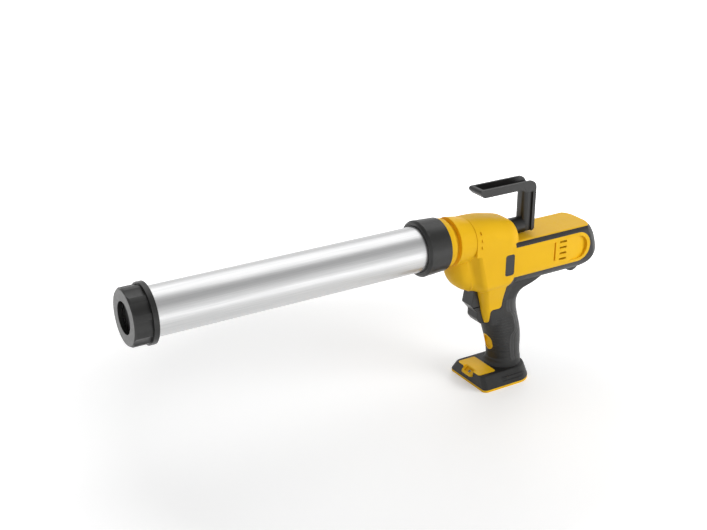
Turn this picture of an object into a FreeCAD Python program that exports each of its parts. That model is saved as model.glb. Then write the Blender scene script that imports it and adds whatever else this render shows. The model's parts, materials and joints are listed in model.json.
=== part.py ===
import FreeCAD, Part
import Sketcher
import math
import os
import re
from types import SimpleNamespace

from FreeCAD import Placement, Rotation, Vector

# A cordless caulking tool with an aluminium barrel for foil packs.
# Every piece is drawn in the tool frame: origin on the barrel axis at the front of the yellow nose,
# +X towards the tail, +Z up. nose_place and axis_height then stand the tool on its foot, with the
# part's origin under the middle of its length.

SIZES = {
    # frame and fits
    "nose_place": 77.0,
    "axis_height": 200.0,
    "seat_gap": 0.1,
    "run_gap": 0.05,
    "slide_gap": 0.3,
    "overrun": 8.0,
    # barrel tube, its rear flange and the front cap
    "tube_radius": 27.5,
    "tube_wall": 1.5,
    "tube_length": 363.4,
    "tube_setback": 20.0,
    "flange_radius": 30.0,
    "cap_length": 26.0,
    "cap_front_radius": 32.0,
    "cap_rear_radius": 34.0,
    "cap_bead": 6.0,
    "cap_bevel": 2.0,
    "cap_lip": 5.0,
    "cap_hole_radius": 18.0,
    "cap_scallop_radius": 26.0,
    "cap_scallop_depth": 1.6,
    "seal_thick": 1.5,
    "seal_hole_radius": 22.0,
    # collar and the socket that it screws on
    "collar_length": 31.0,
    "collar_front_radius": 34.0,
    "collar_rear_radius": 32.4,
    "collar_bevel": 2.5,
    "collar_lip": 5.0,
    "collar_play": 0.8,
    "collar_corner_radius": 34.6,
    "socket_bore": 13.0,
    "spigot_radius": 24.5,
    "spigot_length": 13.0,
    # plunger: piston, toothed rod and hook
    "piston_length": 14.0,
    "piston_play": 0.8,
    "piston_inset": 1.0,
    "piston_round": 7.0,
    "wiper_place": 8.0,
    "wiper_width": 4.0,
    "wiper_floor_radius": 22.0,
    "rod_width": 10.0,
    "rod_height": 12.0,
    "rod_end": 88.0,
    "rod_tenon_radius": 4.0,
    "rod_tenon_length": 42.0,
    "rack_front_margin": 46.0,
    "rack_rear_margin": 12.0,
    "screw_head_radius": 6.0,
    "screw_head_length": 4.0,
    "screw_radius": 3.0,
    "screw_bite": 12.0,
    "hook_half_width": 12.0,
    "hook_wall": 3.0,
    "hook_top": 60.0,
    "hook_arm_height": 10.0,
    "hook_tip": 48.5,
    "hook_tip_slope": 10.0,
    "hook_stem_front": 122.0,
    "hook_stem_depth": 15.5,
    "hook_stem_floor": 5.5,
    "hook_block_top": 8.0,
    "hook_corner": 10.0,
    "hook_inner_corner": 4.0,
    "hook_nose_round": 8.0,
    "sleeve_radius": 11.0,
    "sleeve_floor": 6.6,
    "hook_pin_radius": 1.5,
    "hook_pin_place": 106.0,
    # rack drive
    "rack_module": 1.25,
    "gear_module": 1.0,
    "gear_backlash": 0.16,
    "gear_face": 5.0,
    "gear_side": 8.5,
    "pinion_place": 40.0,
    "shaft_radius": 4.0,
    "bush_radius": 6.0,
    "bush_inner_side": 14.5,
    "bush_outer_side": 19.0,
    "boss_wall": 2.5,
    "idler_lead": 7.4,
    "idler_radius": 3.0,
    "guide_front_length": 22.0,
    "guide_front_lead": 11.0,
    "guide_rear_place": 64.0,
    "guide_rear_radius": 17.0,
    "guide_rear_length": 8.0,
    # gearbox and motor
    "motor_drop": 37.0,
    "gearbox_front": 96.0,
    "gearbox_length": 43.9,
    "gearbox_radius": 20.0,
    "gear_nose_half_width": 7.5,
    "gear_nose_half_height": 12.0,
    "gear_nose_reach": 7.0,
    "motor_front": 140.0,
    "motor_length": 48.0,
    "motor_radius": 21.0,
    "motor_wall": 3.0,
    "end_cap_length": 9.0,
    "rotor_radius": 17.0,
    "rotor_end_play": 2.0,
    "rotor_shaft_radius": 2.5,
    "rotor_nose": 10.0,
    "fan_gap": 2.0,
    "fan_width": 7.0,
    "fan_radius": 17.0,
    "fan_hub_radius": 6.0,
    "fan_blade": 1.6,
    # yellow shells
    "shell_wall": 2.5,
    "skin": 2.0,
    "nose_radius": 29.0,
    "nose_length": 9.0,
    "groove_width": 6.5,
    "groove_radius": 26.5,
    "nose_round": 1.0,
    "head_bore": 22.5,
    "seam_place": 41.0,
    "seam_round": 3.0,
    "body_half": 30.0,
    "body_end": 103.0,
    "body_floor": 72.0,
    "belly_round": 13.0,
    "body_seam_place": 38.0,
    "body_seam_half": 30.0,
    "body_seam_top": 25.5,
    "body_crown_place": 60.0,
    "body_crown_half": 30.0,
    "body_crown_top": 24.8,
    "body_slope_place": 82.0,
    "body_slope_half": 30.0,
    "body_slope_top": 21.0,
    "body_rear_place": 96.0,
    "body_rear_half": 29.0,
    "body_rear_top": 17.0,
    "body_rim_place": 103.0,
    "body_rim_half": 25.5,
    "body_rim_top": 12.5,
    "arch_flat": 5.0,
    "ledge_drop": 16.0,
    "lobe_front": 13.0,
    "lobe_half": 20.5,
    "lobe_top": 8.0,
    "lobe_chin": 36.0,
    "lobe_heel": 44.0,
    "lobe_round": 26.0,
    "lobe_nose_round": 12.0,
    "lobe_valley_top": 30.0,
    "lobe_flare_top": 41.0,
    "lobe_valley_floor": 48.0,
    "lobe_flare_floor": 55.0,
    "lobe_valley_round": 12.0,
    "lobe_flare_round": 10.0,
    "lobe_lap": 4.0,
    "tail_top": 8.5,
    "tail_floor": 70.5,
    "tail_crown_drop": 8.0,
    "tail_crown_end": 219.0,
    "tail_shoulder_drop": 14.0,
    "tail_shoulder_end": 225.5,
    "tail_brow_drop": 24.0,
    "tail_brow_end": 231.5,
    "tail_face_drop": 38.0,
    "tail_face_end": 236.0,
    "tail_chin_drop": 50.0,
    "tail_chin_end": 236.0,
    "tail_jaw_drop": 58.0,
    "tail_jaw_end": 228.0,
    "tail_heel_drop": 65.0,
    "tail_heel_end": 214.0,
    "tail_sole_drop": 71.0,
    "tail_sole_end": 203.0,
    "tail_top_round": 7.0,
    "tail_belly_round": 24.0,
    "tail_plan_round": 22.0,
    "tail_overlap": 12.0,
    # side panel, stripe and grip border
    "panel_top": 15.0,
    "panel_floor": 54.5,
    "panel_end": 216.0,
    "stripe_front": 97.0,
    "stripe_top": 9.6,
    "border_rear": 88.5,
    "border_rear_top": 67.0,
    "border_step": 96.0,
    "border_front": 69.5,
    "border_floor": 113.0,
    "vent_front": 166.0,
    "vent_length": 11.0,
    "vent_height": 2.0,
    "vent_pitch": 7.6,
    "vent_top": 21.0,
    # grip and foot
    "grip_root_drop": 66.0,
    "grip_root_front": 68.0,
    "grip_root_rear": 149.0,
    "grip_brow_drop": 74.0,
    "grip_brow_front": 68.5,
    "grip_brow_rear": 135.0,
    "grip_throat_drop": 84.0,
    "grip_throat_front": 69.2,
    "grip_throat_rear": 126.5,
    "grip_waist_drop": 104.0,
    "grip_waist_front": 71.0,
    "grip_waist_rear": 121.5,
    "grip_swell_drop": 130.0,
    "grip_swell_front": 76.5,
    "grip_swell_rear": 127.5,
    "grip_palm_drop": 148.0,
    "grip_palm_front": 82.0,
    "grip_palm_rear": 130.5,
    "grip_neck_drop": 168.0,
    "grip_neck_front": 86.0,
    "grip_neck_rear": 131.0,
    "grip_base_drop": 186.0,
    "grip_base_front": 86.5,
    "grip_base_rear": 134.0,
    "grip_half_width": 18.0,
    "foot_front": 53.5,
    "foot_end": 134.0,
    "foot_half": 37.5,
    "foot_rim": 11.0,
    "foot_round": 11.0,
    "foot_rear_round": 25.0,
    "foot_wall": 5.0,
    "foot_base": 3.0,
    "deck_height": 18.0,
    "deck_front": 54.5,
    "deck_end": 131.0,
    "deck_half": 24.5,
    "deck_round": 6.0,
    "deck_rear_round": 20.0,
    "shoulder_front": 82.0,
    "shoulder_top": 33.0,
    "shoulder_top_front": 87.0,
    "shoulder_top_rear": 132.0,
    "shoulder_top_half": 19.5,
    "shoulder_round": 17.0,
    "foot_recess_front": 80.0,
    "foot_recess_end": 114.0,
    "foot_recess_top": 10.0,
    "foot_recess_depth": 1.2,
    "grip_window_drop": 150.0,
    "grip_window_half_height": 9.0,
    "grip_window_half_width": 6.0,
    "grip_window_rim": 2.2,
    "grip_window_depth": 2.0,
    # battery shoe and its contacts
    "shoe_plate": 2.4,
    "shoe_depth": 9.0,
    "bay_end": 118.0,
    "rail_width": 8.0,
    "rail_lip": 3.0,
    "rail_lip_height": 3.0,
    "block_length": 26.0,
    "block_half_width": 14.0,
    "block_height": 7.5,
    "blade_thick": 0.8,
    "blade_length": 14.0,
    "blade_height": 5.0,
    "blade_pitch": 8.0,
    # lamp in the foot
    "insert_front": 55.0,
    "insert_end": 81.0,
    "insert_half": 22.5,
    "insert_proud": 0.6,
    "insert_round": 3.0,
    "lamp_nose": 50.5,
    "lamp_nose_half": 10.5,
    "lamp_nose_round": 4.0,
    "lens_place": 58.0,
    "lens_radius": 5.5,
    "lens_height": 4.6,
    "lamp_board_half": 6.0,
    "lamp_board_thick": 1.6,
    # trigger, switch, lock yoke, dial and control module
    "trigger_top": 72.6,
    "trigger_floor": 117.0,
    "trigger_brow": 51.0,
    "trigger_front": 47.5,
    "trigger_nose": 89.0,
    "trigger_waist": 57.0,
    "trigger_waist_top": 100.0,
    "trigger_toe": 63.0,
    "trigger_toe_top": 109.0,
    "trigger_rear": 60.0,
    "trigger_lean": 9.0,
    "trigger_half": 10.0,
    "trigger_round": 5.0,
    "trigger_edge": 2.0,
    "trigger_travel": 7.0,
    "stem_end": 78.5,
    "stem_half": 6.0,
    "stem_top": 88.0,
    "stem_floor": 105.0,
    "switch_front": 86.0,
    "switch_length": 25.0,
    "switch_half": 10.5,
    "switch_top": 82.0,
    "switch_height": 30.0,
    "shelf_thick": 3.0,
    "lock_front": 82.0,
    "lock_length": 13.0,
    "lock_top": 22.5,
    "lock_height": 27.0,
    "lock_root": 17.0,
    "lock_leg_inner": 14.0,
    "lock_leg_outer": 21.0,
    "lock_bar_gap": 0.6,
    "lock_bar_height": 6.0,
    "lock_travel": 4.0,
    "lock_round": 3.0,
    "dial_place": 212.0,
    "dial_drop": 67.5,
    "dial_radius": 12.0,
    "dial_half_width": 4.0,
    "dial_axle_radius": 2.0,
    "dial_axle_half": 8.0,
    "dial_ear": 4.5,
    "dial_ear_half": 6.0,
    "module_front": 93.0,
    "module_length": 25.0,
    "module_half": 9.0,
    "module_top": 124.0,
    "module_height": 40.0,
    # clamshell screws
    "shell_screw_radius": 1.6,
    "shell_screw_head": 3.0,
    "shell_screw_head_length": 2.4,
    "shell_screw_reach": 9.0,
    "shell_screw_inset": 8.0,
    "shell_boss_radius": 4.2,
    "tail_screw_half": 24.0,
}

PINION_TEETH = 14
DRIVE_TEETH = 36
IDLER_TEETH = 12
CAP_SCALLOPS = 10
COLLAR_FACETS = 14
FAN_BLADES = 9
VENT_SLOTS = 4
CONTACT_BLADES = 4
PRESSURE_ANGLE = math.radians(25)
DEDENDUM_SHARE = 1.25
FLANK_STEPS = 3
BODY_STATIONS = ("seam", "crown", "slope", "rear", "rim")
TAIL_STATIONS = ("crown", "shoulder", "brow", "face", "chin", "jaw", "heel", "sole")
GRIP_STATIONS = ("root", "brow", "throat", "waist", "swell", "palm", "neck", "base")
X_AXIS = Vector(1, 0, 0)
Y_AXIS = Vector(0, 1, 0)
Z_AXIS = Vector(0, 0, 1)
QUARTER_TURN = Rotation(Z_AXIS, 90)

TUBE_FRONT = "-(tube_setback + tube_length)"
CAP_FRONT = f"{TUBE_FRONT} - seat_gap - seal_thick - cap_lip"
PISTON_FRONT = f"{TUBE_FRONT} + piston_inset"

doc = FreeCAD.newDocument("caulking_tool")
sheet = doc.addObject("Spreadsheet::Sheet", "Sizes")
for row, (alias, value) in enumerate(SIZES.items(), start=1):
    sheet.set(f"A{row}", alias)
    sheet.set(f"B{row}", str(value))
    sheet.setAlias(f"B{row}", alias)
doc.recompute()
d = SimpleNamespace(**{alias: float(sheet.get(alias)) for alias in SIZES})
nodes = []


def station(form, name, *measures):
    """Return the measures of one cross-section of a lofted form."""
    return [getattr(d, f"{form}_{name}_{measure}") for measure in measures]


def bind(text):
    """Give each sheet name in an expression the sheet's prefix."""
    return re.sub(r"[a-z_]+", lambda m: f"Sizes.{m[0]}" if m[0] in SIZES else m[0], text)


def worth(text):
    """Return what an expression of sheet names is worth now."""
    return float(sheet.evalExpression(bind(text)))


def place(obj, x="0", y="0", z="0", turn=None):
    """Put an object drawn at its own origin at a place of the tool frame."""
    obj.Placement = Placement(Vector(), turn or Rotation())
    obj.setExpression("Placement.Base.x", bind(f"nose_place + ({x})"))
    obj.setExpression("Placement.Base.y", bind(y))
    obj.setExpression("Placement.Base.z", bind(f"axis_height + ({z})"))


def node(obj, label):
    """Name an object as a sub-part that is written out."""
    obj.Label = label
    nodes.append(obj)
    return obj


def outline_sketch(body, name, plane, outline):
    """Draw a closed outline whose corners are bound to the sheet, on a plane of the body."""
    sketch = body.newObject("Sketcher::SketchObject", name)
    support = next(f for f in body.Origin.OriginFeatures if f.Role == plane)
    sketch.AttachmentSupport = [(support, "")]
    sketch.MapMode = "FlatFace"
    corners = [Vector(worth(u), worth(v), 0) for u, v in outline]
    count = len(corners)
    for k, corner in enumerate(corners):
        sketch.addGeometry(Part.LineSegment(corner, corners[(k + 1) % count]), False)
    for k in range(count):
        sketch.addConstraint(Sketcher.Constraint("Coincident", k, 2, (k + 1) % count, 1))
    for k, corner in enumerate(outline):
        for axis, kind, text in ((-2, "DistanceX", corner[0]), (-1, "DistanceY", corner[1])):
            if text == "0":
                sketch.addConstraint(Sketcher.Constraint("PointOnObject", k, 1, axis))
                continue
            index = sketch.addConstraint(Sketcher.Constraint(kind, -1, 1, k, 1, worth(text)))
            sketch.setExpression(f"Constraints[{index}]", bind(text))
    return sketch


def turned(name, outline):
    """Make a body by turning an outline of (place along, radius) about its X axis."""
    body = doc.addObject("PartDesign::Body", name)
    sketch = outline_sketch(body, name + "_outline", "XZ_Plane", outline)
    turn = body.newObject("PartDesign::Revolution", name + "_turn")
    turn.Profile = sketch
    turn.ReferenceAxis = (sketch, ["H_Axis"])
    turn.Angle = 360
    doc.recompute()
    return body


def bored_ring(start, end, inner, outer):
    """Return the outline of a plain ring."""
    return [(start, inner), (end, inner), (end, outer), (start, outer)]


def fillet_edges(body, radius, wanted):
    """Round the edges of a body's last feature that the test picks."""
    tip = body.Tip
    names = [f"Edge{k}" for k, edge in enumerate(tip.Shape.Edges, start=1) if wanted(edge)]
    fillet = body.newObject("PartDesign::Fillet", body.Name + "_round")
    fillet.Base = (tip, names)
    fillet.setExpression("Radius", bind(radius))
    doc.recompute()
    return fillet


def box(name, low, high):
    """Make a Part box between two corners given as expressions, in the tool frame."""
    block = doc.addObject("Part::Box", name)
    for prop, a, b in zip(("Length", "Width", "Height"), low, high):
        block.setExpression(prop, bind(f"({b}) - ({a})"))
    place(block, *low)
    return block


def cylinder(name, radius, length, start, turn):
    """Make a Part cylinder that starts at a point, with its Z axis turned along its run."""
    rod = doc.addObject("Part::Cylinder", name)
    rod.setExpression("Radius", bind(radius))
    rod.setExpression("Height", bind(length))
    place(rod, *start, turn)
    return rod


def joined(kind, name, base, tool):
    """Make a Part boolean of two objects."""
    result = doc.addObject(kind, name)
    result.Base = base
    result.Tool = tool
    doc.recompute()
    return result


def feature(label, shape):
    """Add a sub-part whose shape was made in the tool frame."""
    obj = doc.addObject("Part::Feature", label)
    obj.Shape = shape
    place(obj)
    return node(obj, label)


# outlines and solids made with Part's own functions


def side(x, z):
    return Vector(x, 0, z)


def plan(x, y):
    return Vector(x, y, 0)


def section(y, z):
    return Vector(0, y, z)


def rounded_wire(corners, lift):
    """Return a closed wire through (u, v, radius) corners, with tangent arcs at the rounded ones."""
    ends = []
    count = len(corners)
    for k, (u, v, radius) in enumerate(corners):
        here = Vector(u, v, 0)
        back = Vector(*corners[k - 1][:2], 0).sub(here).normalize()
        ahead = Vector(*corners[(k + 1) % count][:2], 0).sub(here).normalize()
        half = back.getAngle(ahead) / 2
        if radius <= 0:
            ends.append((here, None, here))
            continue
        inward = back.add(ahead).normalize()
        reach = radius / math.tan(half)
        crown = here.add(inward.multiply(radius / math.sin(half) - radius))
        ends.append((here.add(back.multiply(reach)), crown, here.add(ahead.multiply(reach))))
    edges = []
    for k, (start, crown, end) in enumerate(ends):
        before = ends[k - 1][2]
        if before.distanceToPoint(start) > Part.Precision.confusion() * 100:
            edges.append(Part.LineSegment(lift(*before[:2]), lift(*start[:2])).toShape())
        if crown is not None:
            edges.append(Part.Arc(lift(*start[:2]), lift(*crown[:2]), lift(*end[:2])).toShape())
    return Part.Wire(edges)


def prism(corners, lift, start, run):
    """Return a rounded outline moved to its start and pushed along a run."""
    face = Part.Face(rounded_wire(corners, lift))
    face.translate(start)
    return face.extrude(run)


def slab(corners, half_width):
    """Return a side outline pushed to both sides of the middle plane."""
    return prism(corners, side, Y_AXIS * -half_width, Y_AXIS * (2 * half_width))


def block(x0, x1, y0, y1, z0, z1):
    """Return a plain block between its limits."""
    return Part.makeBox(x1 - x0, y1 - y0, z1 - z0, Vector(x0, y0, z0))


def drum(radius, x0, x1, z=0.0):
    """Return a cylinder along X."""
    return Part.makeCylinder(radius, x1 - x0, Vector(x0, 0, z), X_AXIS)


def cross_drum(radius, y0, y1, x, z):
    """Return a cylinder along Y."""
    return Part.makeCylinder(radius, y1 - y0, Vector(x, y0, z), Y_AXIS)


def fused(shapes):
    """Return the union of a list of solids, without seams."""
    return shapes[0].multiFuse(shapes[1:]).removeSplitter()


# teeth


def involute(angle):
    return math.tan(angle) - angle


def gear_wire(teeth, module, turn):
    """Return the outline of an involute gear in the XZ plane, one tooth centred at the turn."""
    pitch = module * teeth / 2
    base = pitch * math.cos(PRESSURE_ANGLE)
    root = pitch - DEDENDUM_SHARE * module
    tip = pitch + module
    half_tooth = math.pi / (2 * teeth) - d.gear_backlash / (2 * pitch)
    start = max(base, root)
    radii = [start + (tip - start) * k / FLANK_STEPS for k in range(FLANK_STEPS + 1)]
    flank = [(r, half_tooth + involute(PRESSURE_ANGLE) - involute(math.acos(base / r))) for r in radii]
    if root < base:
        flank.insert(0, (root, flank[0][1]))
    points = []
    for k in range(teeth):
        middle = turn + 2 * math.pi * k / teeth
        points += [(r, middle - a) for r, a in flank]
        points += [(r, middle + a) for r, a in reversed(flank)]
    corners = [Vector(r * math.cos(a), 0, r * math.sin(a)) for r, a in points]
    return Part.makePolygon(corners + corners[:1])


def gear_solid(teeth, module, turn, x, z, y0, y1):
    """Return a gear on a cross axis, between two planes."""
    solid = Part.Face(gear_wire(teeth, module, turn)).extrude(Y_AXIS * (y1 - y0))
    solid.translate(Vector(x, y0, z))
    return solid


def rack_corners(low_end, high_end, tip_line):
    """Return the underside of the rod from its rear to its front, with a gap over the pinion."""
    pitch = math.pi * d.rack_module
    depth = (1 + DEDENDUM_SHARE) * d.rack_module
    slope = math.tan(PRESSURE_ANGLE)
    half_tip = pitch / 4 - d.gear_backlash / 2 - slope * d.rack_module
    half_root = half_tip + slope * depth
    first = math.ceil((low_end - d.pinion_place) / pitch - 0.5)
    last = math.floor((high_end - d.pinion_place) / pitch - 0.5)
    corners = []
    for k in range(last, first - 1, -1):
        middle = d.pinion_place + (k + 0.5) * pitch
        corners += [(middle + half_root, tip_line + depth), (middle + half_tip, tip_line)]
        corners += [(middle - half_tip, tip_line), (middle - half_root, tip_line + depth)]
    return corners


def pinion_height():
    """Return the height of the pinion's axis, just out of tight mesh with the rack."""
    pitch_line = -d.rod_height / 2 + d.rack_module
    return pitch_line - d.rack_module * PINION_TEETH / 2 - d.seat_gap


def idler_axis():
    """Return the idler's (x, z), a centre distance ahead of and below the pinion."""
    distance = d.gear_module * (DRIVE_TEETH + IDLER_TEETH) / 2 + d.seat_gap
    return (
        d.pinion_place + d.idler_lead,
        pinion_height() - math.sqrt(distance**2 - d.idler_lead**2),
    )


# barrel group


def make_front_cap():
    bore = "tube_radius + slide_gap"
    body = turned(
        "front_cap",
        [
            ("0", "cap_hole_radius"),
            ("0", "cap_front_radius - cap_bevel"),
            ("cap_bevel", "cap_front_radius"),
            ("cap_length - cap_bead", "cap_front_radius"),
            ("cap_length - cap_bead", "cap_rear_radius"),
            ("cap_length", "cap_rear_radius"),
            ("cap_length", bore),
            ("cap_lip", bore),
            ("cap_lip", "cap_hole_radius"),
        ],
    )
    add_scallops(body)
    place(body, CAP_FRONT)
    return node(body, "front_cap")


def add_scallops(body):
    """Cut shallow finger scallops round the cap, in front of its bead."""
    before = body.Shape.Volume
    sketch = body.newObject("Sketcher::SketchObject", "scallop_outline")
    support = next(f for f in body.Origin.OriginFeatures if f.Role == "YZ_Plane")
    sketch.AttachmentSupport = [(support, "")]
    sketch.MapMode = "FlatFace"
    away = "cap_front_radius + cap_scallop_radius - cap_scallop_depth"
    centre = Vector(worth(away), 0, 0)
    sketch.addGeometry(Part.Circle(centre, Z_AXIS, d.cap_scallop_radius), False)
    sketch.addConstraint(Sketcher.Constraint("PointOnObject", 0, 3, -1))
    at = sketch.addConstraint(Sketcher.Constraint("DistanceX", -1, 1, 0, 3, worth(away)))
    sketch.setExpression(f"Constraints[{at}]", bind(away))
    radius = sketch.addConstraint(Sketcher.Constraint("Radius", 0, d.cap_scallop_radius))
    sketch.setExpression(f"Constraints[{radius}]", bind("cap_scallop_radius"))
    pocket = body.newObject("PartDesign::Pocket", "scallop")
    pocket.Profile = sketch
    pocket.Reversed = True
    pocket.setExpression("Length", bind("cap_length - cap_bead"))
    doc.recompute()
    pattern = body.newObject("PartDesign::PolarPattern", "scallops")
    pattern.Originals = [pocket]
    pattern.Axis = (sketch, ["N_Axis"])
    pattern.Angle = 360
    pattern.Occurrences = CAP_SCALLOPS
    body.Tip = pattern
    doc.recompute()
    if body.Shape.Volume >= before:
        raise RuntimeError("the cap's scallops cut nothing")


def make_barrel():
    seal = turned(
        "cap_seal", bored_ring("0", "seal_thick", "seal_hole_radius", "tube_radius")
    )
    place(seal, f"{CAP_FRONT} + cap_lip")
    node(seal, "cap_seal")
    tube = turned(
        "barrel_tube", bored_ring("0", "tube_length", "tube_radius - tube_wall", "tube_radius")
    )
    place(tube, TUBE_FRONT)
    node(tube, "barrel_tube")
    length = "collar_length - collar_lip - tube_setback - seat_gap"
    flange = turned(
        "barrel_flange", bored_ring("0", length, "tube_radius + seat_gap", "flange_radius")
    )
    place(flange, f"-tube_setback - ({length})")
    node(flange, "barrel_flange")


def make_collar():
    bore = "flange_radius + slide_gap"
    mouth = "tube_radius + collar_play"
    ring = turned(
        "collar_ring",
        [
            ("0", mouth),
            ("0", "collar_front_radius - collar_bevel"),
            ("collar_bevel", "collar_front_radius"),
            ("collar_length", "collar_rear_radius"),
            ("collar_length", bore),
            ("collar_lip", bore),
            ("collar_lip", mouth),
        ],
    )
    place(ring, "-collar_length")
    facets = doc.addObject("Part::Prism", "collar_facets")
    facets.Polygon = COLLAR_FACETS
    facets.setExpression("Circumradius", bind("collar_corner_radius"))
    facets.setExpression("Height", bind("collar_length"))
    place(facets, "-collar_length", turn=Rotation(Y_AXIS, 90))
    return node(joined("Part::Common", "collar", ring, facets), "collar")


def make_nose_socket():
    flange = "tube_setback - slide_gap"
    body = turned(
        "nose_socket",
        [
            ("0", "socket_bore"),
            ("0", "flange_radius"),
            (flange, "flange_radius"),
            (flange, "spigot_radius"),
            (f"{flange} + spigot_length", "spigot_radius"),
            (f"{flange} + spigot_length", "socket_bore"),
        ],
    )
    place(body, f"-({flange})")
    return node(body, "nose_socket")


def make_rod_guide(label, radius, length, x):
    """Make a round guide with a square hole for the rod."""
    plug = cylinder(label + "_plug", radius, length, (x, "0", "0"), Rotation(Y_AXIS, 90))
    hole = box(
        label + "_hole",
        (f"{x} - overrun", "-rod_width / 2 - slide_gap", "-rod_height / 2 - slide_gap"),
        (f"{x} + {length} + overrun", "rod_width / 2 + slide_gap", "rod_height / 2 + slide_gap"),
    )
    return node(joined("Part::Cut", label, plug, hole), label)


# plunger


def make_piston():
    outer = "tube_radius - tube_wall - piston_play"
    rear = "wiper_place + wiper_width"
    body = turned(
        "piston",
        [
            ("0", "screw_head_radius + seat_gap"),
            ("0", outer),
            ("wiper_place", outer),
            ("wiper_place", "wiper_floor_radius"),
            (rear, "wiper_floor_radius"),
            (rear, outer),
            ("piston_length", outer),
            ("piston_length", "screw_radius + seat_gap"),
            ("screw_head_length", "screw_radius + seat_gap"),
            ("screw_head_length", "screw_head_radius + seat_gap"),
        ],
    )
    rim = worth(outer)
    fillet_edges(
        body,
        "piston_round",
        lambda e: e.BoundBox.XMax < d.seat_gap and abs(e.BoundBox.ZMax - rim) < d.seat_gap,
    )
    place(body, PISTON_FRONT)
    node(body, "piston")
    wiper = turned(
        "piston_seal",
        bored_ring(
            "0", "wiper_width", "wiper_floor_radius + run_gap", "tube_radius - tube_wall - slide_gap"
        ),
    )
    place(wiper, f"{PISTON_FRONT} + wiper_place")
    node(wiper, "piston_seal")
    tail = "piston_length + screw_bite"
    screw = turned(
        "piston_screw",
        [
            ("0", "0"),
            ("0", "screw_head_radius"),
            ("screw_head_length", "screw_head_radius"),
            ("screw_head_length", "screw_radius"),
            (tail, "screw_radius"),
            (tail, "0"),
        ],
    )
    place(screw, PISTON_FRONT)
    node(screw, "piston_screw")


def make_plunger_rod():
    front = worth(f"{PISTON_FRONT} + piston_length")
    half = d.rod_height / 2
    teeth = rack_corners(front + d.rack_front_margin, d.rod_end - d.rack_rear_margin, -half)
    outline = [(front, -half), (front, half), (d.rod_end, half), (d.rod_end, -half)]
    corners = [Vector(x, -d.rod_width / 2, z) for x, z in outline + teeth]
    face = Part.Face(Part.makePolygon(corners + corners[:1]))
    bar = face.extrude(Y_AXIS * d.rod_width)
    tenon = drum(d.rod_tenon_radius, d.rod_end - d.overrun, d.rod_end + d.rod_tenon_length)
    bite = drum(d.screw_radius + d.seat_gap, front - d.overrun, front + d.screw_bite + d.seat_gap)
    rod = bar.fuse(tenon).cut(bite).cut(hook_pin_hole())
    return feature("plunger_rod", rod)


def hook_pin_hole():
    reach = d.sleeve_radius + d.overrun
    return cross_drum(d.hook_pin_radius + d.seat_gap, -reach, reach, d.hook_pin_place, 0)


def make_hook():
    rear = d.hook_stem_front + d.hook_stem_depth
    under = d.hook_top - d.hook_arm_height
    half = d.hook_half_width
    strap = slab(
        [
            (d.hook_tip, d.hook_top, d.hook_wall),
            (rear, d.hook_top, d.hook_corner),
            (rear, -d.hook_stem_floor, d.hook_inner_corner),
            (d.hook_stem_front, -d.hook_stem_floor, 0),
            (d.hook_stem_front, under, d.hook_inner_corner),
            (d.hook_tip + d.hook_tip_slope, under, d.hook_inner_corner),
        ],
        half,
    )
    stem = prism(
        [
            (d.hook_stem_front, -half, d.hook_nose_round),
            (rear, -half, 0),
            (rear, half, 0),
            (d.hook_stem_front, half, d.hook_nose_round),
        ],
        plan,
        Z_AXIS * -d.hook_stem_floor,
        Z_AXIS * (d.hook_top + d.hook_stem_floor),
    )
    arm = block(d.hook_tip, rear, -half, half, under - d.hook_inner_corner, d.hook_top)
    strap = strap.common(arm.fuse(stem))
    web = d.hook_stem_front + d.hook_wall
    floor = under + d.hook_wall
    trough = slab(
        [
            (d.hook_tip + d.hook_tip_slope, d.hook_top + d.overrun, 0),
            (rear + d.overrun, d.hook_top + d.overrun, 0),
            (rear + d.overrun, d.hook_block_top, 0),
            (web, d.hook_block_top, 0),
            (web, floor, d.hook_inner_corner),
            (d.hook_tip + d.hook_tip_slope, floor, 0),
        ],
        d.hook_half_width - d.hook_wall,
    )
    sleeve = drum(d.sleeve_radius, d.rod_end, d.hook_stem_front + d.hook_wall)
    below = block(
        d.rod_end - d.overrun, rear, -d.sleeve_radius * 2, d.sleeve_radius * 2,
        -d.sleeve_radius * 2, -d.sleeve_floor,
    )
    bore = drum(
        d.rod_tenon_radius + d.seat_gap, d.rod_end - d.overrun,
        d.rod_end + d.rod_tenon_length + d.seat_gap,
    )
    hook = fused([strap.cut(trough), sleeve.cut(below)]).cut(bore).cut(hook_pin_hole())
    feature("hook_handle", hook)
    reach = "sqrt(sleeve_radius ^ 2 - hook_pin_radius ^ 2) - seat_gap"
    pin = cylinder(
        "hook_pin", "hook_pin_radius", f"2 * ({reach})", ("hook_pin_place", f"-({reach})", "0"),
        Rotation(X_AXIS, -90),
    )
    return node(pin, "hook_pin")


# drive


def make_drive():
    z = pinion_height()
    x = d.pinion_place
    up = math.pi / 2
    half = d.rod_width / 2
    reach = d.bush_outer_side - d.slide_gap
    shaft = cross_drum(d.shaft_radius, -reach, reach, x, z)
    pinion = gear_solid(PINION_TEETH, d.rack_module, up, x, z, -half, half)
    feature("pinion_shaft", shaft.fuse(pinion))
    idler_x, idler_z = idler_axis()
    lean = math.atan2(idler_z - z, idler_x - x)
    near = d.gear_side
    far = d.gear_side + d.gear_face
    wheel = gear_solid(DRIVE_TEETH, d.gear_module, lean, x, z, near, far)
    bore = cross_drum(d.shaft_radius + d.run_gap, near - d.overrun, far + d.overrun, x, z)
    feature("drive_gear", wheel.cut(bore))
    turn = lean + math.pi + math.pi / IDLER_TEETH
    small = gear_solid(IDLER_TEETH, d.gear_module, turn, idler_x, idler_z, near, far)
    stub = cross_drum(d.idler_radius, -d.gear_nose_half_width, far, idler_x, idler_z)
    feature("idler_gear", small.fuse(stub))
    feature("pinion_bushes", Part.makeCompound([make_bush(x, z, hand) for hand in (-1, 1)]))


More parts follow.
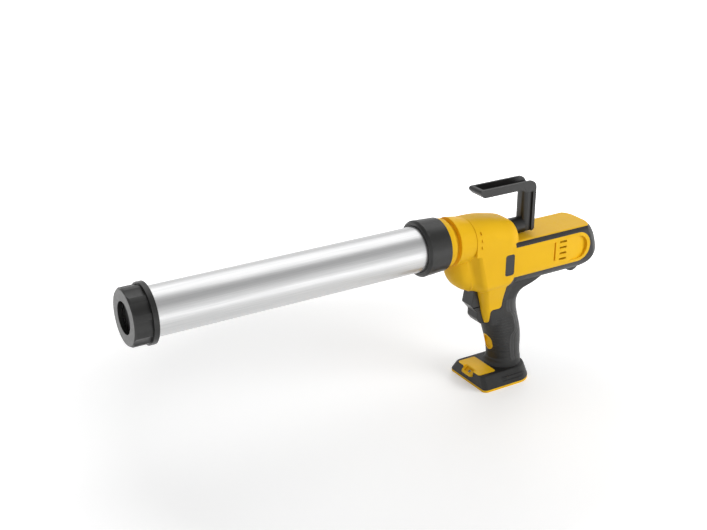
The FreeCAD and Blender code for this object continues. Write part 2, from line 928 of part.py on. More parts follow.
def make_bush(x, z, hand):
    """Return one bush of the pinion shaft, on the left (-1) or right (1)."""
    ends = sorted((hand * d.bush_inner_side, hand * d.bush_outer_side))
    outer = cross_drum(d.bush_radius, *ends, x, z)
    return outer.cut(cross_drum(d.shaft_radius + d.run_gap, *ends, x, z))


def make_gearbox():
    idler_x, idler_z = idler_axis()
    rear = d.gearbox_front + d.gearbox_length
    case = drum(d.gearbox_radius, d.gearbox_front, rear, -d.motor_drop)
    nose = slab(
        [
            (idler_x - d.gear_nose_reach, idler_z - d.gear_nose_half_height, d.gear_nose_reach),
            (d.gearbox_front + d.overrun, idler_z - d.gear_nose_half_height, 0),
            (d.gearbox_front + d.overrun, idler_z + d.gear_nose_half_height, 0),
            (idler_x - d.gear_nose_reach, idler_z + d.gear_nose_half_height, d.gear_nose_reach),
        ],
        d.gear_nose_half_width,
    )
    idler_bore = cross_drum(
        d.idler_radius + d.run_gap, -d.gear_nose_half_width * 2, d.gear_nose_half_width * 2,
        idler_x, idler_z,
    )
    pinion_hole = drum(
        d.rotor_shaft_radius * 2, rear - d.rotor_nose - d.slide_gap, rear + d.overrun, -d.motor_drop
    )
    feature("gearbox_case", fused([case, nose]).cut(idler_bore).cut(pinion_hole))


def make_motor():
    hole = "rotor_shaft_radius + run_gap"
    inner = "motor_radius - motor_wall"
    can = turned(
        "motor_can",
        [
            ("0", hole),
            ("0", "motor_radius"),
            ("motor_length", "motor_radius"),
            ("motor_length", inner),
            ("motor_wall", inner),
            ("motor_wall", hole),
        ],
    )
    place(can, "motor_front", z="-motor_drop")
    node(can, "motor_can")
    lid = turned("motor_end_cap", bored_ring("0", "end_cap_length", hole, "motor_radius"))
    place(lid, "motor_front + motor_length", z="-motor_drop")
    node(lid, "motor_end_cap")
    make_rotor()


def make_rotor():
    """The rotor: shaft, wound core and a cooling fan behind the end cap."""
    front = d.motor_front - d.rotor_nose
    fan_start = d.motor_front + d.motor_length + d.end_cap_length + d.fan_gap
    fan_end = fan_start + d.fan_width
    core_start = d.motor_front + d.motor_wall + d.rotor_end_play
    core_end = d.motor_front + d.motor_length - d.rotor_end_play
    pieces = [
        drum(d.rotor_shaft_radius, front, fan_end, -d.motor_drop),
        drum(d.rotor_radius, core_start, core_end, -d.motor_drop),
        drum(d.fan_hub_radius, fan_start, fan_end, -d.motor_drop),
        drum(d.fan_radius, fan_end - d.fan_blade, fan_end, -d.motor_drop),
    ]
    centre = Vector(0, 0, -d.motor_drop)
    for k in range(FAN_BLADES):
        blade = block(fan_start, fan_end, -d.fan_blade / 2, d.fan_blade / 2, 0, d.fan_radius)
        blade.translate(centre)
        blade.rotate(centre, X_AXIS, 360 * k / FAN_BLADES)
        pieces.append(blade)
    disc = drum(d.fan_radius, fan_start, fan_end, -d.motor_drop)
    fan = fused(pieces[2:]).common(disc)
    feature("rotor", fused(pieces[:2] + [fan]))


# yellow shells and black over-moulding


def head(inset):
    """The round front of the body: nose ring, groove and head drum, turned about the barrel axis."""
    if inset > 0:
        return drum(d.head_bore, d.spigot_length, d.seam_place + d.overrun)
    groove_end = d.nose_length + d.groove_width
    outline = [
        (0, 0, 0),
        (0, d.nose_radius, d.nose_round),
        (d.nose_length, d.nose_radius, d.nose_round),
        (d.nose_length, d.groove_radius, 0),
        (groove_end, d.groove_radius, 0),
        (groove_end, d.nose_radius, d.nose_round),
        (d.seam_place, d.nose_radius, d.seam_round),
        (d.seam_place, 0, 0),
    ]
    return Part.Face(rounded_wire(outline, side)).revolve(Vector(), X_AXIS, 360)


def gear_body(inset):
    """The arched middle of the body behind the seam: a loft that falls to a rounded rear rim."""
    floor = inset - d.body_floor
    arches = []
    for name in BODY_STATIONS:
        x, half, top = station("body", name, "place", "half", "top")
        half -= inset
        top -= inset
        arch = rounded_wire(
            [
                (-half, floor, d.belly_round),
                (half, floor, d.belly_round),
                (half, top, half - d.arch_flat),
                (-half, top, half - d.arch_flat),
            ],
            section,
        )
        arch.translate(X_AXIS * (x - inset if name == BODY_STATIONS[-1] else x))
        arches.append(arch)
    start = d.body_seam_place
    profile = slab(
        [
            (start, d.body_seam_top, 0),
            (d.body_end, d.body_seam_top, 0),
            (d.body_end, floor, 0),
            (d.lobe_flare_floor + d.lobe_lap, floor, 0),
            (d.lobe_flare_top + d.lobe_lap, inset - d.ledge_drop, 0),
            (start, inset - d.ledge_drop, 0),
        ],
        d.body_half,
    )
    return Part.makeLoft(arches, True, False).common(profile)


def lobe_outline(inset, valley, flare):
    """Return the level outline of the gear case: a round nose that flares out to the body."""
    front = d.lobe_front + inset
    half = d.lobe_half - inset
    wide = d.body_half - inset
    rear = d.lobe_flare_floor + d.overrun
    corners = [
        (front, -half, d.lobe_nose_round),
        (valley, -half, d.lobe_valley_round),
        (flare, -wide, d.lobe_flare_round),
        (rear, -wide, 0),
    ]
    return corners + [(x, -y, r) for x, y, r in reversed(corners)]


def lobe(inset):
    """The rounded gear case under the nose, which flares out into the body."""
    front = d.lobe_front + inset
    floor = inset - d.body_floor
    rear = d.lobe_flare_floor + d.overrun
    profile = slab(
        [
            (front, -d.lobe_top, 0),
            (rear, -d.lobe_top, 0),
            (rear, floor, 0),
            (d.lobe_heel, floor, d.lobe_round),
            (front, -d.lobe_chin, d.lobe_round / 2),
        ],
        d.body_half,
    )
    upper = rounded_wire(lobe_outline(inset, d.lobe_valley_top, d.lobe_flare_top), plan)
    upper.translate(Z_AXIS * -d.lobe_top)
    lower = rounded_wire(lobe_outline(inset, d.lobe_valley_floor, d.lobe_flare_floor), plan)
    lower.translate(Z_AXIS * -d.body_floor)
    return Part.makeLoft([lower, upper], True, True).common(profile)


def tail(inset):
    """The motor housing: a flat-topped bar, round underneath, cut to a domed rear end."""
    half = d.body_half - inset
    top = -d.tail_top - inset
    floor = inset - d.tail_floor
    front = d.body_end - d.tail_overlap
    bar = prism(
        [
            (-half, floor, d.tail_belly_round - inset),
            (half, floor, d.tail_belly_round - inset),
            (half, top, d.tail_top_round),
            (-half, top, d.tail_top_round),
        ],
        section,
        X_AXIS * front,
        X_AXIS * (d.tail_face_end - front),
    )
    corner = d.tail_plan_round - inset
    levels = []
    for name in TAIL_STATIONS:
        drop, end = station("tail", name, "drop", "end")
        level = rounded_wire(
            [
                (front, -half, 0),
                (end - inset, -half, corner),
                (end - inset, half, corner),
                (front, half, 0),
            ],
            plan,
        )
        level.translate(Z_AXIS * -drop)
        levels.append(level)
    return bar.common(Part.makeLoft(levels, True, False))


def oval(front, rear, drop, half_width):
    """Return a level oval wire for the grip."""
    corner = half_width - d.run_gap
    corners = [
        (front, -half_width, corner),
        (rear, -half_width, corner),
        (rear, half_width, corner),
        (front, half_width, corner),
    ]
    wire = rounded_wire(corners, plan)
    wire.translate(Z_AXIS * -drop)
    return wire


def grip(inset):
    """The handle: a loft through level ovals, from a root that flares out under the tail to the foot."""
    ovals = []
    for name in GRIP_STATIONS:
        front, rear, drop = station("grip", name, "front", "rear", "drop")
        ovals.append(oval(front + inset, rear - inset, drop, d.grip_half_width - inset))
    return Part.makeLoft(ovals, True, False)


def foot_level(height, front, end, half, front_round, rear_round):
    """Return one level outline of the foot, at a height above the floor."""
    wire = rounded_wire(
        [
            (front, -half, front_round),
            (end, -half, rear_round),
            (end, half, rear_round),
            (front, half, front_round),
        ],
        plan,
    )
    wire.translate(Z_AXIS * (height - d.axis_height))
    return wire


def foot(inset):
    """The battery foot: an upright rim, flanks that lean in to the deck, and shoulders up to the grip."""
    rim = (
        d.foot_front + inset, d.foot_end - inset, d.foot_half - inset,
        d.foot_round - inset, d.foot_rear_round - inset,
    )
    deck_rear = (d.deck_end - inset, d.deck_half - inset)
    deck_rounds = (d.deck_round - inset, d.deck_rear_round - inset)
    rim_top = d.foot_rim - inset
    deck_top = d.deck_height - inset
    base = Part.Face(foot_level(0, *rim)).extrude(Z_AXIS * rim_top)
    flanks = [
        foot_level(rim_top, *rim),
        foot_level(deck_top, d.deck_front + inset, *deck_rear, *deck_rounds),
    ]
    corner = d.shoulder_round - inset
    shoulders = [
        foot_level(deck_top, d.shoulder_front + inset, *deck_rear, corner, corner),
        foot_level(
            d.shoulder_top - inset, d.shoulder_top_front + inset, d.shoulder_top_rear - inset,
            d.shoulder_top_half - inset, corner, corner,
        ),
    ]
    return fused([base, Part.makeLoft(flanks, True, True), Part.makeLoft(shoulders, True, True)])


def black_region():
    """The side region where the black over-moulding lies: stripe, tail, underside, grip and foot."""
    deep = -d.axis_height + d.foot_base
    far = d.tail_face_end + d.overrun
    near = d.foot_front - d.overrun
    round_end = (d.panel_floor - d.panel_top) / 2
    return slab(
        [
            (d.stripe_front, -d.stripe_top, 0),
            (far, -d.stripe_top, 0),
            (far, deep, 0),
            (near, deep, 0),
            (near, -d.border_floor, 0),
            (d.border_front, -d.border_floor, 0),
            (d.border_front, -d.border_step, 0),
            (d.border_rear, -d.border_step, 0),
            (d.border_rear, -d.border_rear_top, 0),
            (d.stripe_front, -d.panel_floor, 0),
            (d.panel_end, -d.panel_floor, round_end - d.run_gap),
            (d.panel_end, -d.panel_top, round_end - d.run_gap),
            (d.stripe_front, -d.panel_top, 0),
        ],
        d.foot_half + d.overrun,
    )


def outer_form():
    return fused([gear_body(0), head(0), lobe(0), tail(0), grip(0), foot(0)])


def core_form():
    """The yellow form under the black skin: the same form, drawn in where the skin lies."""
    inset = d.skin
    return fused([gear_body(inset), tail(inset), grip(inset), foot(inset)])


def cavity_form():
    """The hollow of the shells."""
    inset = d.skin + d.shell_wall
    hollow = [head(inset), gear_body(inset), lobe(inset), tail(inset), grip(inset)]
    return fused(hollow)


SHELL_SCREW_SHARES = (
    # places along the tool and down from the axis, as shares of the body's end and floor
    ("body", 0.60, 0.87),
    ("body", 1.62, 0.87),
    ("body", 2.18, 0.60),
    ("grip", 0.93, 1.64),
    ("grip", 1.05, 2.42),
)


def shell_screws():
    """Yield each clamshell screw's place and the outer side that its head is sunk from."""
    for zone, along, down in SHELL_SCREW_SHARES:
        half = d.tail_screw_half if zone == "body" else d.grip_half_width
        yield along * d.body_end, -down * d.body_floor, half


def screw_bosses():
    return [
        cross_drum(d.shell_boss_radius, -half, half, x, z) for x, z, half in shell_screws()
    ]


def screw_holes():
    """Return the shank holes, and the head wells of the right shell."""
    holes = []
    for x, z, half in shell_screws():
        seat = half - d.shell_screw_inset
        shank = d.shell_screw_radius + d.seat_gap
        well = d.shell_screw_head + d.seat_gap
        holes.append(cross_drum(shank, -d.shell_screw_reach - d.seat_gap, half, x, z))
        holes.append(cross_drum(well, seat, half + d.overrun, x, z))
    return holes


def make_shell_screws():
    screws = []
    for x, z, half in shell_screws():
        seat = half - d.shell_screw_inset
        shank = cross_drum(d.shell_screw_radius, -d.shell_screw_reach, seat, x, z)
        cap = cross_drum(d.shell_screw_head, seat, seat + d.shell_screw_head_length, x, z)
        screws.append(shank.fuse(cap))
    feature("housing_screws", Part.makeCompound(screws))


def inner_ribs(cavity):
    """The bulkheads, shelves and bosses that carry the inner pieces, clipped to the hollow."""
    wide = d.body_half
    slabs = []
    rear = d.gearbox_front + d.gearbox_length
    motor_rear = d.motor_front + d.motor_length
    for x, radius in (
        (d.gearbox_front + d.overrun, d.gearbox_radius),
        (rear - d.overrun, d.gearbox_radius),
        (d.motor_front + d.overrun, d.motor_radius),
        (motor_rear - d.overrun, d.motor_radius),
    ):
        plate = block(x, x + d.shelf_thick, -wide, wide, -d.tail_floor, -d.tail_top)
        slabs.append(plate.cut(drum(radius + d.seat_gap, x - d.overrun, x + d.overrun, -d.motor_drop)))
    for z in (
        -d.switch_top,
        -d.switch_top - d.switch_height - d.shelf_thick,
        -d.module_top - d.module_height - d.shelf_thick,
    ):
        shelf = block(d.switch_front, d.foot_end, -wide, wide, z, z + d.shelf_thick)
        slabs.append(shelf)
    guide = block(
        d.guide_rear_place, d.guide_rear_place + d.guide_rear_length, -wide, wide,
        -d.ledge_drop, d.body_seam_top,
    )
    slabs.append(guide.cut(drum(d.guide_rear_radius + d.seat_gap, 0, d.body_end)))
    return [s.common(cavity) for s in slabs]


def pinion_bosses():
    """The housing bosses round the pinion's bushes, and their bores."""
    x = d.pinion_place
    z = pinion_height()
    outer = d.bush_radius + d.boss_wall
    bosses = []
    bores = []
    for hand in (-1, 1):
        root = sorted((hand * d.bush_inner_side, hand * (d.bush_outer_side + d.boss_wall)))
        hole = sorted((hand * (d.bush_inner_side - d.overrun), hand * d.bush_outer_side))
        bosses.append(cross_drum(outer, *root, x, z))
        bores.append(cross_drum(d.bush_radius + d.seat_gap, *hole, x, z))
    return bosses, bores


def sleeve_hole():
    """The hole for the hook's sleeve in the rear wall, flat where the tail's top meets it."""
    start = d.guide_rear_place + d.guide_rear_length
    end = d.body_end + d.overrun
    radius = d.sleeve_radius + d.collar_play
    above = block(start, end, -radius, radius, -d.tail_top, radius)
    return drum(radius, start, end).common(above)


def gear_room():
    """The room that the drive gear needs beside the rod."""
    radius = d.gear_module * (DRIVE_TEETH / 2 + 1) + d.collar_play
    return cross_drum(
        radius, d.gear_side - d.collar_play, d.bush_inner_side, d.pinion_place, pinion_height()
    )


def shell_openings():
    """What is cut through the finished shells: bores, slots, button holes and vents."""
    wide = d.foot_half + d.overrun
    cuts = [
        drum(d.spigot_radius + d.seat_gap, -d.overrun, d.spigot_length + d.overrun),
        sleeve_hole(),
        gear_room(),
    ]
    slot = d.trigger_half + d.slide_gap
    back = d.trigger_rear + d.trigger_lean + d.trigger_travel + d.slide_gap
    cuts.append(
        block(
            d.trigger_front, back, -slot, slot, -d.trigger_floor - d.slide_gap, -d.body_floor
        )
    )
    stem = d.stem_half + d.slide_gap
    cuts.append(
        block(
            d.trigger_front, d.switch_front, -stem, stem,
            -d.stem_floor - d.slide_gap, -d.stem_top + d.slide_gap,
        )
    )
    cuts += lock_pads(d.slide_gap, d.lock_travel + d.overrun)
    for k in range(VENT_SLOTS):
        z = -d.vent_top - k * d.vent_pitch
        for hand in (-1, 1):
            ends = sorted((hand * (d.body_half - d.skin - 2 * d.shell_wall), hand * wide))
            cuts.append(block(d.vent_front, d.vent_front + d.vent_length, *ends, z - d.vent_height, z))
    play = d.dial_radius + d.slide_gap
    half = d.dial_half_width + d.slide_gap
    cuts.append(cross_drum(play, -half, half, d.dial_place, -d.dial_drop))
    return cuts


def grip_window(margin, reach):
    """The oval window on the grip's front, grown by a margin and cut to a reach behind the front."""
    half_height = d.grip_window_half_height + margin
    half_width = d.grip_window_half_width + margin
    corner = half_width - d.run_gap
    corners = [
        (-half_width, -half_height, corner),
        (half_width, -half_height, corner),
        (half_width, half_height, corner),
        (-half_width, half_height, corner),
    ]
    start = Vector(d.foot_front, 0, -d.grip_window_drop)
    return prism(corners, section, start, X_AXIS * (d.grip_palm_front + reach - d.foot_front))


def foot_recesses():
    """The shallow panels on the foot's flanks."""
    top = d.foot_recess_top - d.axis_height
    low = d.foot_base - d.axis_height
    near = d.foot_half - d.foot_recess_depth
    panels = []
    for hand in (-1, 1):
        ends = sorted((hand * near, hand * (d.foot_half + d.overrun)))
        panels.append(block(d.foot_recess_front, d.foot_recess_end, *ends, low, top))
    return panels


def make_shells():
    outer = outer_form()
    cavity = cavity_form()
    skin = outer.cut(core_form()).common(black_region())
    bosses, bores = pinion_bosses()
    kept = [b.common(cavity) for b in bosses + screw_bosses() + dial_ears()]
    hollow = cavity.cut(fused(inner_ribs(cavity) + kept))
    cuts = shell_openings() + foot_hollow() + [insert_solid()] + screw_holes()
    core = outer.cut(skin).cut(hollow)
    cuts.append(dial_bore())
    for tool in cuts + bores:
        core = core.cut(tool)
    core = core.cut(grip_window(0, d.skin + d.grip_window_depth))
    for tool in cuts + foot_recesses() + [grip_window(d.grip_window_rim, d.grip_window_half_width)]:
        skin = skin.cut(tool)
    for label, y0, y1 in (
        ("left", -d.foot_half - d.overrun, 0),
        ("right", 0, d.foot_half + d.overrun),
    ):
        half = block(
            -d.overrun, d.tail_face_end + d.overrun, y0, y1, -d.axis_height - d.overrun, d.axis_height
        )
        feature(f"housing_{label}", core.common(half))
        feature(f"grip_cover_{label}", skin.common(half))


# battery foot


def bay_limits():
    """Return the battery bay's front, end, half width, floor and the underside of its plate."""
    floor = -d.axis_height
    return (
        d.foot_front + d.foot_wall, d.bay_end, d.foot_half - d.foot_wall, floor,
        floor + d.shoe_depth,
    )


def foot_hollow():
    """The battery bay in the foot's underside, and its mouth through the rear of the rim."""
    front, end, half, floor, roof = bay_limits()
    bay = block(front, end, -half, half, floor - d.overrun, roof + d.shoe_plate)
    mouth_half = half - d.rail_width
    mouth = block(front, d.foot_end + d.overrun, -mouth_half, mouth_half, floor - d.overrun, roof)
    return [bay, mouth]


def make_battery_shoe():
    """The shoe: a plate with two lipped rails that a slide-on battery hangs from."""
    front, end, half, floor, roof = bay_limits()
    inner = half - d.rail_width
    pieces = [block(front, end, -half, half, roof, roof + d.shoe_plate)]
    for hand in (-1, 1):
        rail = sorted((hand * inner, hand * half))
        lip = sorted((hand * (inner - d.rail_lip), hand * half))
        pieces.append(block(front, end, *rail, floor, roof))
        pieces.append(block(front, end, *lip, floor, floor + d.rail_lip_height))
    feature("battery_shoe", fused(pieces))
    start = front + d.block_length
    low = roof - d.block_height
    feature(
        "terminal_block", block(front, start, -d.block_half_width, d.block_half_width, low, roof)
    )
    middle = (CONTACT_BLADES - 1) / 2
    blades = []
    for k in range(CONTACT_BLADES):
        y = (k - middle) * d.blade_pitch
        z = (low + roof) / 2
        blades.append(
            block(
                start, start + d.blade_length, y - d.blade_thick / 2, y + d.blade_thick / 2,
                z - d.blade_height / 2, z + d.blade_height / 2,
            )
        )
    feature("contact_blades", Part.makeCompound(blades))


def insert_solid():
    """The yellow lamp insert: a plate let into the foot's front, with a round nose for the lamp."""
    low = bay_limits()[4] + d.shoe_plate
    top = d.deck_height + d.insert_proud - d.axis_height
    corners = [
        (d.lamp_nose, -d.lamp_nose_half, d.lamp_nose_round),
        (d.insert_front, -d.lamp_nose_half, 0),
        (d.insert_front, -d.insert_half, d.insert_round),
        (d.insert_end, -d.insert_half, d.insert_round),
    ]
    outline = corners + [(x, -y, r) for x, y, r in reversed(corners)]
    return prism(outline, plan, Z_AXIS * low, Z_AXIS * (top - low))


def make_lamp():
    low = bay_limits()[4] + d.shoe_plate
    half = d.lamp_board_half
    board_top = low + d.lamp_board_thick
    board = block(d.lens_place - half, d.lens_place + half, -half, half, low, board_top)
    upright = Part.makeCylinder(
        d.lens_radius + d.seat_gap, d.deck_height, Vector(d.lens_place, 0, low), Z_AXIS
    )
    feature("foot_insert", insert_solid().cut(board).cut(upright))
    feature("led_board", board)
    lens = Part.makeCylinder(
        d.lens_radius, d.lens_height, Vector(d.lens_place, 0, board_top), Z_AXIS
    )
    feature("led_lens", lens)


# controls


def make_trigger():
    """The trigger: a finger pull with a nose over its waist, and a stem towards the switch."""
    pull = slab(
        [
            (d.trigger_brow, -d.trigger_top, d.trigger_edge),
            (d.trigger_rear, -d.trigger_top, 0),
            (d.trigger_rear + d.trigger_lean, -d.trigger_floor, d.trigger_edge),
            (d.trigger_toe, -d.trigger_floor, d.trigger_round),
            (d.trigger_waist, -d.trigger_toe_top, d.trigger_round),
            (d.trigger_waist, -d.trigger_waist_top, d.trigger_edge),
            (d.trigger_front, -d.trigger_nose, d.trigger_edge),
        ],
        d.trigger_half,
    )
    stem = block(
        d.trigger_rear, d.stem_end, -d.stem_half, d.stem_half,
        -d.stem_floor, -d.stem_top,
    )
    feature("trigger", pull.fuse(stem).removeSplitter())


def make_inner_boxes():
    """The switch in the top of the grip and the control module under it."""
    switch = box(
        "switch_body",
        ("switch_front", "-switch_half", "-switch_top - switch_height"),
        ("switch_front + switch_length", "switch_half", "-switch_top"),
    )
    node(switch, "switch_body")
    module = box(
        "control_module",
        ("module_front", "-module_half", "-module_top - module_height"),
        ("module_front + module_length", "module_half", "-module_top"),
    )
    node(module, "control_module")


def lock_pads(grow, reach):
    """Return the lock yoke's left and right pads, grown and reaching out for a cut."""
    x0 = d.lock_front - grow
    x1 = d.lock_front + d.lock_length + grow
    top = -d.lock_top + grow
    low = -d.lock_top - d.lock_height - grow
    corner = d.lock_round
    corners = [(x0, low, corner), (x1, low, corner), (x1, top, corner), (x0, top, corner)]
    depth = d.body_half - d.lock_root + reach
    return [
        prism(corners, side, Y_AXIS * (hand * d.lock_root), Y_AXIS * (hand * depth))
        for hand in (-1, 1)
    ]


def make_lock_yoke():
    """The lock yoke: its pads, joined by legs and a bar that passes under the gearbox nose."""
    left = lock_pads(0, 0)[0]
    right = lock_pads(0, d.lock_travel)[1]
    x0 = d.lock_front
    x1 = d.lock_front + d.lock_length
    bar_top = idler_axis()[1] - d.gear_nose_half_height - d.lock_bar_gap
    bar_low = bar_top - d.lock_bar_height
    leg_top = -d.lock_top - d.lock_round
    pieces = [left, right]
    for hand in (-1, 1):
        leg = sorted((hand * d.lock_leg_inner, hand * d.lock_leg_outer))
        pieces.append(block(x0, x1, *leg, bar_low, leg_top))
    pieces.append(block(x0, x1, -d.lock_leg_inner, d.lock_leg_inner, bar_low, bar_top))
    feature("lock_button", fused(pieces))


def dial_ears():
    """The ears inside the tail that hold the speed dial's axle."""
    ears = []
    for hand in (-1, 1):
        near = d.dial_half_width + d.slide_gap
        ends = sorted((hand * near, hand * (near + d.dial_ear)))
        ears.append(
            block(
                d.dial_place - d.dial_ear_half, d.dial_place + d.dial_ear_half, *ends,
                -d.tail_floor, -d.dial_drop + d.dial_ear_half,
            )
        )
    return ears


def dial_bore():
    half = d.dial_axle_half + d.slide_gap
    return cross_drum(d.dial_axle_radius + d.run_gap, -half, half, d.dial_place, -d.dial_drop)


def make_speed_dial():
    wheel = turned(
        "speed_dial",
        [
            ("0", "0"),
            ("0", "dial_axle_radius"),
            ("dial_axle_half - dial_half_width", "dial_axle_radius"),
            ("dial_axle_half - dial_half_width", "dial_radius"),
            ("dial_axle_half + dial_half_width", "dial_radius"),
            ("dial_axle_half + dial_half_width", "dial_axle_radius"),
            ("2 * dial_axle_half", "dial_axle_radius"),
            ("2 * dial_axle_half", "0"),
        ],
    )
    place(wheel, "dial_place", "-dial_axle_half", "-dial_drop", QUARTER_TURN)
    node(wheel, "speed_dial")


def check_document():
    """Stop if any object failed or any sub-part is not a sound solid."""
    doc.recompute()
    for obj in doc.Objects:
        if "Invalid" in obj.State or "Error" in obj.State:
            raise RuntimeError(f"{obj.Label} failed: {obj.State}")
    for obj in nodes:
        shape = obj.Shape
        if shape.isNull() or not shape.isValid() or not shape.Solids:
            raise RuntimeError(f"{obj.Label} has no sound solid")


def write_parts():
    os.makedirs("parts", exist_ok=True)
    for obj in nodes:
        obj.Shape.exportStep(f"parts/{obj.Label}.step")
        print(obj.Label, len(obj.Shape.Solids), round(obj.Shape.Volume))


make_front_cap()
make_barrel()
make_collar()
make_nose_socket()
make_rod_guide("rod_guide_front", "socket_bore - seat_gap", "guide_front_length", "-guide_front_lead")
make_rod_guide("rod_guide_rear", "guide_rear_radius", "guide_rear_length", "guide_rear_place")
make_piston()
make_plunger_rod()
make_hook()
make_drive()
make_gearbox()
make_motor()
make_shells()
make_shell_screws()
make_battery_shoe()
make_lamp()
make_trigger()
make_inner_boxes()
make_lock_yoke()
make_speed_dial()
check_document()
write_parts()
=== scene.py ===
import json
import math

import bmesh
import bpy
import numpy as np
from mathutils import Matrix, Vector


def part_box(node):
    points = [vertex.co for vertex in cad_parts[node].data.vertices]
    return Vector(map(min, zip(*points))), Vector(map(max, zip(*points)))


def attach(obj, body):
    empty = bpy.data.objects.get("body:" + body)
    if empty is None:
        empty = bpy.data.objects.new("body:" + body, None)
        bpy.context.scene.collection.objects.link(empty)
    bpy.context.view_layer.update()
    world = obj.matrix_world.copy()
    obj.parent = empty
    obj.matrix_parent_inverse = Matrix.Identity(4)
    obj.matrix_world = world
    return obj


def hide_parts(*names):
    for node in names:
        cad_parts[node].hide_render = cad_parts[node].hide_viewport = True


# Looks for the cordless caulking tool: materials for every solid of the frame, finer forms for the
# shells, trigger, hook and lamp, a pale studio and the photograph's camera. Lengths are metres, apart
# from the forms, which are drawn in millimetres, and the values whose names end in MM.

MM = 0.001
FULL_TURN = 2 * math.pi

# camera, fitted to the barrel's edges in the photograph
CAMERA_PLACE = Vector((-0.658446, -1.030988, 0.712807))
CAMERA_AZIMUTH = math.radians(-31.03)
CAMERA_ELEVATION = math.radians(23.143)
PHOTO_WIDTH_PX = 707
FOCAL_LENGTH_PX = 1150
SENSOR_WIDTH_MM = 36

# studio: the world is white where it is seen, the floor whitens from near to far, the lamps are soft
FLOOR_SIZE = 14.0
FLOOR_COLOUR = (0.86, 0.86, 0.86)
FLOOR_ROUGHNESS = 0.9
FLOOR_GLOW_NEAR = 0.30
FLOOR_GLOW_FAR = 0.72
FLOOR_GLOW_SHARES = (0.29, 0.9)
WORLD_LIGHT = 0.42
WORLD_SEEN = 1.0
SKY_RISE_SHARES = (0.22, 0.62)
SKY_GREY_SHARES = (1.0, 0.5)
SEEN_RAYS = ("Is Camera Ray", "Is Glossy Ray", "Is Transmission Ray")
LAMPS = {
    # name: (place, aim, width, height, watts)
    "overhead": ((0.55, 0.65, 1.9), (0.0, 0.0, 0.2), 2.4, 1.7, 14.5),
    "key": ((1.7, -1.8, 1.1), (0.1, 0.0, 0.15), 1.8, 1.4, 44.0),
    "fill": ((-1.7, -1.2, 1.0), (0.0, 0.0, 0.15), 1.6, 1.4, 5.0),
    "rim": ((1.3, 1.2, 0.7), (0.15, 0.0, 0.12), 0.9, 0.9, 8.0),
}
# the other lamps light the tool without showing in its tube
MIRRORED_LAMPS = ("overhead",)

# colours, as linear shares
YELLOW = (0.87, 0.505, 0.008)
YELLOW_DEEP = (0.84, 0.475, 0.007)
BLACK = (0.009, 0.009, 0.0086)
BLACK_WORN = (0.015, 0.015, 0.0145)
# painted reflection: the front cap's face is painted a lighter grey where light reflects from it
CAP_FACE_PAINTED_REFLECTION = (0.10, 0.10, 0.097)
RUBBER = (0.010, 0.010, 0.0098)
RUBBER_DUSTY = (0.017, 0.017, 0.0165)
# painted sheen: the grip's rear strip is painted lighter where the light from behind glances off it
RUBBER_REAR_PAINTED_SHEEN = (0.034, 0.034, 0.034)
# painted shade: the thin gap beside the yellow cheek is painted near black
GAP_PAINTED_SHADE = (0.0015, 0.0015, 0.0015)
ALUMINIUM_DARK = (0.60, 0.605, 0.61)
ALUMINIUM_LIGHT = (0.72, 0.72, 0.72)
STEEL_DARK = (0.42, 0.42, 0.43)
STEEL_LIGHT = (0.60, 0.60, 0.61)
PLATED_DARK = (0.055, 0.055, 0.058)
PLATED_LIGHT = (0.10, 0.10, 0.105)
BRASS_DARK = (0.62, 0.40, 0.12)
BRASS_LIGHT = (0.76, 0.53, 0.20)
GREY = (0.030, 0.030, 0.031)
GREY_LIGHT = (0.046, 0.046, 0.047)
BOARD_DARK = (0.012, 0.085, 0.035)
BOARD_LIGHT = (0.025, 0.14, 0.06)
LENS = (0.92, 0.93, 0.94)

# finishes: roughness, and the grain and depth of each texture
NOISE_LOW = 0.3
NOISE_HIGH = 0.7
TONE_GRAIN = 30 * MM
TONE_DETAIL = 3.0
FLOW_GRAIN = 4 * MM
FLOW_DETAIL = 4.0
FLOW_SPREAD = 0.05
SPARK_GRAIN = 0.35 * MM
SPARK_DEPTH = 0.010 * MM
SPARK_DETAIL = 1.0
STREAK_DETAIL = 4.0
STREAK_SPREAD = 0.06
YELLOW_ROUGHNESS = 0.46
YELLOW_SPECULAR = 0.22
BLACK_ROUGHNESS = 0.36
BLACK_GRAIN = 0.45 * MM
BLACK_GRAIN_DEPTH = 0.012 * MM
RUBBER_ROUGHNESS = 0.50
RUBBER_GRAIN = 0.5 * MM
RUBBER_GRAIN_DEPTH = 0.02 * MM
# noise that breaks up the painted reflection on the front cap's face
REFLECTION_NOISE_GRAIN = 6 * MM
REFLECTION_NOISE_DETAIL = 3.0
REFLECTION_NOISE_SHARES = (0.8, 1.0)
LENS_ROUGHNESS = 0.08
LENS_ROUGHNESS_ENDS = (0.05, 0.12)
LENS_INDEX = 1.49
LENS_HAZE_GRAIN = 2 * MM
LENS_RIPPLE_GRAIN = 1 * MM
LENS_RIPPLE_DEPTH = 0.004 * MM
METALS = {
    # slot: (dark, light, roughness, grain, stretch of the grain along each axis, depth)
    "aluminium_tube": (ALUMINIUM_DARK, ALUMINIUM_LIGHT, 0.34, 0.5 * MM, (160.0, 1.0, 1.0), 0.002 * MM),
    "steel": (STEEL_DARK, STEEL_LIGHT, 0.30, 0.6 * MM, (40.0, 1.0, 1.0), 0.004 * MM),
    "dark_steel": (PLATED_DARK, PLATED_LIGHT, 0.38, 1.2 * MM, (1.0, 1.0, 1.0), 0.004 * MM),
    "brass": (BRASS_DARK, BRASS_LIGHT, 0.30, 0.6 * MM, (1.0, 8.0, 1.0), 0.003 * MM),
}
PLASTICS = {
    # slot: (colour, second colour, roughness, grain, depth)
    "grey_plastic": (GREY, GREY_LIGHT, 0.40, SPARK_GRAIN, SPARK_DEPTH),
    "seal_rubber": (BLACK, RUBBER_DUSTY, 0.62, 0.8 * MM, 0.010 * MM),
    "board_green": (BOARD_DARK, BOARD_LIGHT, 0.40, SPARK_GRAIN, SPARK_DEPTH),
}

